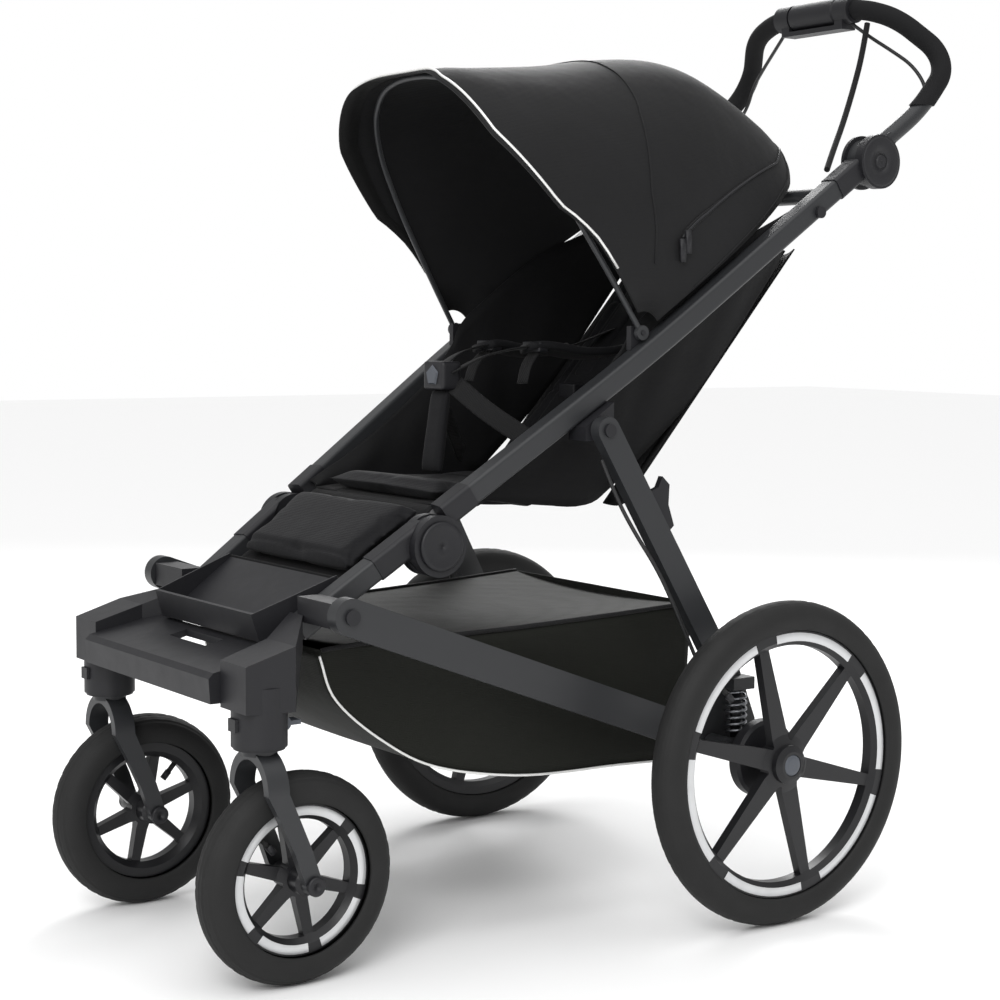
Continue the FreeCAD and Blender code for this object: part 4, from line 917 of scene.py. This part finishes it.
class STROLLER_OT_harness(bpy.types.Operator):
    """Shoulder pads and straps, waist straps, crotch pad and strap hardware"""

    bl_idname = "stroller.harness"
    bl_label = "Harness"

    def execute(self, context):
        pads = []
        for side in (1, -1):
            x = side * 55
            pads.append(pad_form("pad", lambda px, a, o, x=x: back_spot(x + px, 150 + a, 15 + o), 170, (17, 20), 11,
                                 "pad"))
            strap = [back_spot(x, up, 13 + 2 * math.sin(up / 60)) for up in np.linspace(40, 376, 28)]
            pads.append(tube_mesh("strap", strap, 0.001, "webbing", 12, (0.025, 0.0022, (1, 0, 0))))
            slider = back_spot(x, 128, 15)
            pads.append(rounded_box("slider", slider - Vector((0.017, 0.010, 0.010)),
                                    slider + Vector((0.017, 0.010, 0.010)), "moulding", 0.003))
        self.lap_to_shoulder()
        shoulders = joined("shoulder_harness", pads)
        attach(shoulders, "seat_back")
        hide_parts("shoulder_straps")

        low = at(0, -301, 545)
        high = at(0, -287, 648)
        up = (high - low).normalized()
        out = Vector((0, -up.z, up.y))
        crotch = pad_form("crotch", lambda x, a, o: low + up * a * MM + out * o * MM + Vector((x * MM, 0, 0)),
                          (high - low).length / MM, (20, 17), 13, "pad", 1.0)
        parts = [crotch]
        for side in (1, -1):
            waist = [at(side * 20, -280, 655), at(side * 48, -250, 622), at(side * 82, -214, 590),
                     at(side * 112, -184, 566), at(side * 130, -166, 556)]
            parts.append(tube_mesh("waist", smooth_line(waist, 24), 0.001, "webbing", 12,
                                   (0.025, 0.0022, (0, 0.3, 1))))
        lap = joined("lap_harness", parts)
        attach(lap, "main_frame")
        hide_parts("harness_lower")

        self.buckle_pieces()
        return {"FINISHED"}

    def lap_to_shoulder(self):
        """Straps from the buckle's top that rise to the pad ends and on to the backrest."""
        parts = []
        for side in (1, -1):
            route = [at(side * 15, -283, 670), at(side * 34, -240, 692), at(side * 50, -178, 702),
                     at(side * 58, -110, 694), at(side * 60, -45, 700), back_spot(side * 57, 235, 17)]
            line = smooth_line(route, 40)
            parts.append(tube_mesh("strap", line, 0.001, "webbing", 12, (0.024, 0.0024, (1, 0, 0.2))))
            end = line[16]
            parts.append(tube_mesh("pad", line[14:31], 0.001, "pad", 16, (0.040, 0.011, (1, 0, 0.2))))
            low = Vector(end) - Vector((0.018, 0.012, 0.006))
            parts.append(rounded_box("slider", low, low + Vector((0.036, 0.016, 0.013)), "moulding", 0.003))
            tab = [line[16], Vector(line[16]) + Vector((side * 0.006, -0.022, -0.022)),
                   Vector(line[16]) + Vector((side * 0.008, -0.030, -0.045))]
            parts.append(tube_mesh("tab", smooth_line(tab, 8), 0.001, "webbing", 12, (0.022, 0.0022, (1, 0, 0))))
        hung = joined("buckle_straps", parts)
        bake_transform(hung)

    def buckle_pieces(self):
        """Buckle shell and its five-sided push button."""
        low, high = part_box("buckle")
        shell = rounded_box("buckle_shell", low, high, "moulding", 0.006, 4)
        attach(shell, "main_frame")
        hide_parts("buckle")
        face = Vector((0, low.y - 0.0004, (low.z + high.z) / 2))
        button = []
        for depth, scale in ((0.0, 1.0), (-0.0022, 0.86)):
            for k in range(5):
                turn = math.pi / 2 + 2 * math.pi * k / 5
                reach = 0.0135 * scale
                button.append(face + Vector((reach * math.cos(turn), depth, reach * math.sin(turn))))
        faces = [tuple(range(5)), tuple(range(5, 10))]
        faces += [(k, (k + 1) % 5, 5 + (k + 1) % 5, 5 + k) for k in range(5)]
        push = mesh_piece("buckle_push", button, faces, "button", False)
        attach(push, "buckle_release")
        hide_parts("buckle_button")


# ---------------------------------------------------------------- basket

BASKET_LOW = [(-548, 356), (-528, 304), (-470, 252), (-399, 214), (-283, 193), (-150, 190), (-60, 189), (-36, 204)]
BASKET_TOP = [(-545, 362), (-500, 366), (-440, 368), (-380, 369), (-300, 372), (-150, 378), (-90, 381), (-32, 384)]


def basket_half(y):
    """Half width in mm of the basket's outside at a place along it."""
    return float(np.interp(y, [-550, -300, -30], [149, 183, 195]))


class STROLLER_OT_basket(bpy.types.Operator):
    """Sagging basket bag with its cover, white piping and top hem"""

    bl_idname = "stroller.basket"
    bl_label = "Basket"

    def execute(self, context):
        low = smooth_line(BASKET_LOW, 48)
        top = smooth_line(BASKET_TOP, 48)
        rows = []
        for (ly, lz), (ty, tz) in zip(low, top):
            row = []
            for side in (1, -1):
                wall = []
                for k in range(13):
                    drop = k / 12
                    y = ty + (ly - ty) * drop
                    z = tz + (lz - tz) * drop
                    belly = 5 * math.sin(math.pi * drop) + 2.2 * math.sin(y / 31 + 2) * math.sin(math.pi * drop)
                    wall.append(at(side * (basket_half(y) - 5 - belly), y, z))
                if side < 0:
                    wall.reverse()
                row.append(wall)
            half = basket_half(ly) - 5
            floor = [at(x, ly, lz + 1 + 3 * math.cos(x / half * math.pi / 2) * math.sin(ly / 60))
                     for x in np.linspace(half, -half, 27)[1:-1]]
            rows.append(row[0] + floor + row[1])
        bag = sheet_piece("basket_bag", rows, "basket", 0.0016)
        ends = []
        for index in (0, -1):
            loop = rows[index]
            half = len(loop) // 2
            rungs = [[loop[k] + (loop[-1 - k] - loop[k]) * (c / 16) for c in range(17)] for k in range(half)]
            ends.append(sheet_piece("end", rungs, "basket", 0.0016))
        bag = joined("basket_cloth", [bag, *ends])
        cover_rows = []
        for ty, tz in top:
            half = basket_half(ty) - 5
            cover_rows.append([at(x, ty, tz - 1 - 9 * (1 - (x / half) ** 2)) for x in np.linspace(-half, half, 31)])
        cover = sheet_piece("basket_cover", cover_rows[6:], "basket", 0.0014)
        lines = []
        for side in (1, -1):
            lines.append(tube_mesh("line", [at(side * (basket_half(y) - 3.4), y, z - 0.5) for y, z in low], 0.0015,
                                   "piping", 8))
            lines.append(tube_mesh("hem", [at(side * (basket_half(y) - 4.5), y, z) for y, z in top], 0.0028,
                                   "webbing", 8))
        trim = joined("basket_trim", lines)
        for piece in (bag, cover, trim):
            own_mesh(piece)
            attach(piece, "side_links")
        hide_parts("basket")
        return {"FINISHED"}


# ---------------------------------------------------------------- cords

def nurbs_cord(name, points, radius, finish):
    """A round cord on one smooth spline with the route's points."""
    data = bpy.data.curves.new(name, "CURVE")
    data.dimensions = "3D"
    spline = data.splines.new("NURBS")
    spline.points.add(len(points) - 1)
    for point, place in zip(spline.points, points):
        point.co = (*place, 1.0)
    spline.order_u = 3
    spline.use_endpoint_u = True
    spline.resolution_u = 12
    data.bevel_depth = radius
    data.bevel_resolution = 4
    data.use_fill_caps = True
    return place_object(name, data, finish)


def handle_cable_points(side):
    """Brake cable from the housing round the inside of the handlebar."""
    route = [(66, 346, 1147), (92, 352, 1128), (126, 362, 1106), (160, 372, 1082), (181, 378, 1048),
             (186, 352, 1018), (189, 320, 996)]
    return [at(side * x, y, z) for x, y, z in route]


LEG_TOP = (227.5, -205.0, 607.0)
LEG_FOOT = (251.0, -22.0, 288.0)


def leg_cable_points(side):
    """Brake cable in front of the leg, from under the tube to the spring seat."""
    run = math.hypot(LEG_FOOT[1] - LEG_TOP[1], LEG_FOOT[2] - LEG_TOP[2])
    down_y = (LEG_FOOT[1] - LEG_TOP[1]) / run
    down_z = (LEG_FOOT[2] - LEG_TOP[2]) / run
    route = [(26, -24, 2), (72, -31, 5), (124, -29, 4), (178, -24, 6), (232, -25, 5), (284, -30, 7), (322, -34, 9)]
    points = []
    for down, back, shift in route:
        x = LEG_TOP[0] + down / run * (LEG_FOOT[0] - LEG_TOP[0]) + shift
        points.append(at(side * x, LEG_TOP[1] + down_y * down - down_z * back,
                         LEG_TOP[2] + down_z * down + down_y * back))
    return points


def wrist_strap_points():
    """Webbing from the crossbar to the left hinge."""
    route = [(97, 345, 1143.5), (104, 330, 1100), (112, 306, 1050), (130, 270, 1000), (158, 226, 962),
             (182, 192, 934)]
    return [at(x, y, z) for x, y, z in route]


class STROLLER_OT_cords(bpy.types.Operator):
    """Brake cables and the wrist strap"""

    bl_idname = "stroller.cords"
    bl_label = "Cords"

    def execute(self, context):
        for word, side in SIDES:
            upper = nurbs_cord(f"handle_cable_{word}", handle_cable_points(side), 0.0025, "sheath")
            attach(upper, "handlebar")
            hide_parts("handle_brake_cables")
            tuple(handle_cable_points(side)[0])
            lower = nurbs_cord(f"leg_cable_{word}", leg_cable_points(side), 0.0025, "sheath")
            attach(lower, "rear_legs")
            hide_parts("strut_brake_cables")
            tuple(leg_cable_points(side)[0])
        strap = nurbs_cord("wrist_webbing", wrist_strap_points(), 0.004, "webbing")
        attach(strap, "handlebar")
        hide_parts("wrist_strap")
        tuple(wrist_strap_points()[0])
        return {"FINISHED"}


# ---------------------------------------------------------------- hardware

class STROLLER_OT_hardware(bpy.types.Operator):
    """Coil springs and the covers of the fold and handlebar hinges"""

    bl_idname = "stroller.hardware"
    bl_label = "Hardware"

    def execute(self, context):
        low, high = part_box("suspension_springs")
        for word, side in SIDES:
            centre = Vector((side * 0.262, (low.y + high.y) / 2, low.z))
            tall = high.z - low.z
            turns = 7
            helix = []
            for k in range(turns * 20 + 1):
                turn = 2 * math.pi * k / 20
                helix.append(centre + Vector((0.0118 * math.cos(turn), 0.0118 * math.sin(turn),
                                              0.002 + (tall - 0.004) * k / (turns * 20))))
            coil = tube_mesh("coil", helix, 0.0019, "steel", 8)
            core = tube_mesh("core", [centre, centre + Vector((0, 0, tall))], 0.0072, "moulding", 16)
            spring = joined(f"spring_coil_{word}", [coil, core])
            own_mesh(spring)
            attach(spring, "rear_legs")
            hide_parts("suspension_springs")
            cap_face = Vector((side * 0.187, FOLD.y, FOLD.z))
            cap_edge = [(-2, 29), (0.2, 29), (1.4, 27.5), (1.9, 24), (1.4, 23), (1.6, 10), (1.6, 0.1), (-2, 0.1)]
            cap = turned_piece(f"fold_cap_{word}", cap_face, cap_edge, "moulding", 64, side)
            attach(cap, "main_frame")
            knob_face = Vector((side * 0.222, GRIP_HINGE.y, GRIP_HINGE.z))
            knob_edge = [(-1, 33), (0.8, 32), (1.6, 29), (1.2, 22), (0.6, 10.5), (-1, 10.5)]
            knob = turned_piece(f"hinge_cover_{word}", knob_face, knob_edge, "moulding", 64, side)
            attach(knob, "main_frame")
        return {"FINISHED"}


# ---------------------------------------------------------------- stage

class STROLLER_OT_stage(bpy.types.Operator):
    """Pale floor, soft studio light and the camera"""

    bl_idname = "stroller.stage"
    bl_label = "Stage"

    def execute(self, context):
        scene = context.scene
        floor_mesh = bpy.data.meshes.new("floor")
        reach = 14.0
        corners = [(-reach, -reach, 0), (reach, -reach, 0), (reach, reach, 0), (-reach, reach, 0)]
        floor_mesh.from_pydata(corners, [], [(0, 1, 2, 3)])
        floor = place_object("studio_floor", floor_mesh)
        floor_mesh.materials.append(new_material("matt_paper", "fafafa", 0.9)[0])
        world = bpy.data.worlds.new("studio")
        world.use_nodes = True
        tree = world.node_tree
        backdrop = tree.nodes["Background"]
        backdrop.inputs["Color"].default_value = (1, 1, 1, 1)
        seen = add_node(tree, "ShaderNodeLightPath").outputs["Is Camera Ray"]
        strength = add_node(tree, "ShaderNodeMapRange", inputs={"To Min": 0.55, "To Max": 1.0},
                            links={"Value": seen})
        tree.links.new(strength.outputs["Result"], backdrop.inputs["Strength"])
        scene.world = world
        scene.view_settings.view_transform = "Standard"
        sky = bpy.data.lights.new("overhead", "SUN")
        sky.energy = 1.42
        sky.angle = math.radians(80)
        overhead = place_object("overhead", sky)
        overhead.rotation_euler = (math.radians(8), math.radians(10), 0)
        self.light("key", (2.2, -2.4, 2.4), (0, 0, 0.5), 1.6, 60)
        self.light("rim", (-2.0, 1.6, 2.2), (0, 0, 0.6), 1.4, 45)
        self.camera(scene)
        return {"FINISHED"}

    def light(self, name, place, target, size, power):
        """A square soft light aimed at a point."""
        data = bpy.data.lights.new(name, "AREA")
        data.size = size
        data.energy = power
        lamp = place_object(name, data)
        lamp.location = place
        lamp.rotation_euler = (Vector(target) - Vector(place)).to_track_quat("-Z", "Y").to_euler()

    def camera(self, scene):
        """Stands to the left in front of the stroller, level with its seat."""
        azimuth = math.radians(54.60)
        elevation = math.radians(5.18)
        roll = math.radians(0.505)
        back = Vector((math.sin(azimuth) * math.cos(elevation), -math.cos(azimuth) * math.cos(elevation),
                       math.sin(elevation)))
        right = Vector((0, 0, 1)).cross(back).normalized()
        up = back.cross(right)
        turned_right = right * math.cos(roll) + up * math.sin(roll)
        turned_up = up * math.cos(roll) - right * math.sin(roll)
        data = bpy.data.cameras.new("studio_camera")
        data.sensor_width = 36
        data.lens = 73.56
        camera = place_object("studio_camera", data)
        rotation = Matrix((turned_right, turned_up, back)).transposed().to_4x4()
        camera.matrix_world = Matrix.Translation((2.1272, -1.7073 + AXLE_Y, 0.7423)) @ rotation
        scene.camera = camera


class STROLLER_PT_panel(bpy.types.Panel):
    """Buttons for each group of pieces"""

    bl_label = "Stroller"
    bl_idname = "STROLLER_PT_panel"
    bl_space_type = "VIEW_3D"
    bl_region_type = "UI"
    bl_category = "Stroller"

    def draw(self, context):
        column = self.layout.column()
        for group in (context.scene.stroller_colours, context.scene.stroller_sizes):
            for key in group.__annotations__:
                column.prop(group, key)
        for operator in OPERATORS:
            column.operator(operator.bl_idname)


OPERATORS = (
    STROLLER_OT_frame_finishes,
    STROLLER_OT_stage,
    STROLLER_OT_cords,
    STROLLER_OT_wheels,
    STROLLER_OT_canopy,
    STROLLER_OT_seat,
    STROLLER_OT_harness,
    STROLLER_OT_basket,
    STROLLER_OT_hardware,
)
CLASSES = (StrollerColours, StrollerSizes, *OPERATORS, STROLLER_PT_panel)


def register():
    for item in CLASSES:
        bpy.utils.register_class(item)
    bpy.types.Scene.stroller_colours = bpy.props.PointerProperty(type=StrollerColours)
    bpy.types.Scene.stroller_sizes = bpy.props.PointerProperty(type=StrollerSizes)


def unregister():
    del bpy.types.Scene.stroller_sizes
    del bpy.types.Scene.stroller_colours
    for item in reversed(CLASSES):
        bpy.utils.unregister_class(item)


def main():
    """Make every group of pieces in order."""
    register()
    bpy.ops.stroller.frame_finishes()
    bpy.ops.stroller.stage()
    bpy.ops.stroller.cords()
    bpy.ops.stroller.wheels()
    bpy.ops.stroller.canopy()
    bpy.ops.stroller.seat()
    bpy.ops.stroller.harness()
    bpy.ops.stroller.basket()
    bpy.ops.stroller.hardware()


if __name__ == "__main__":
    main()
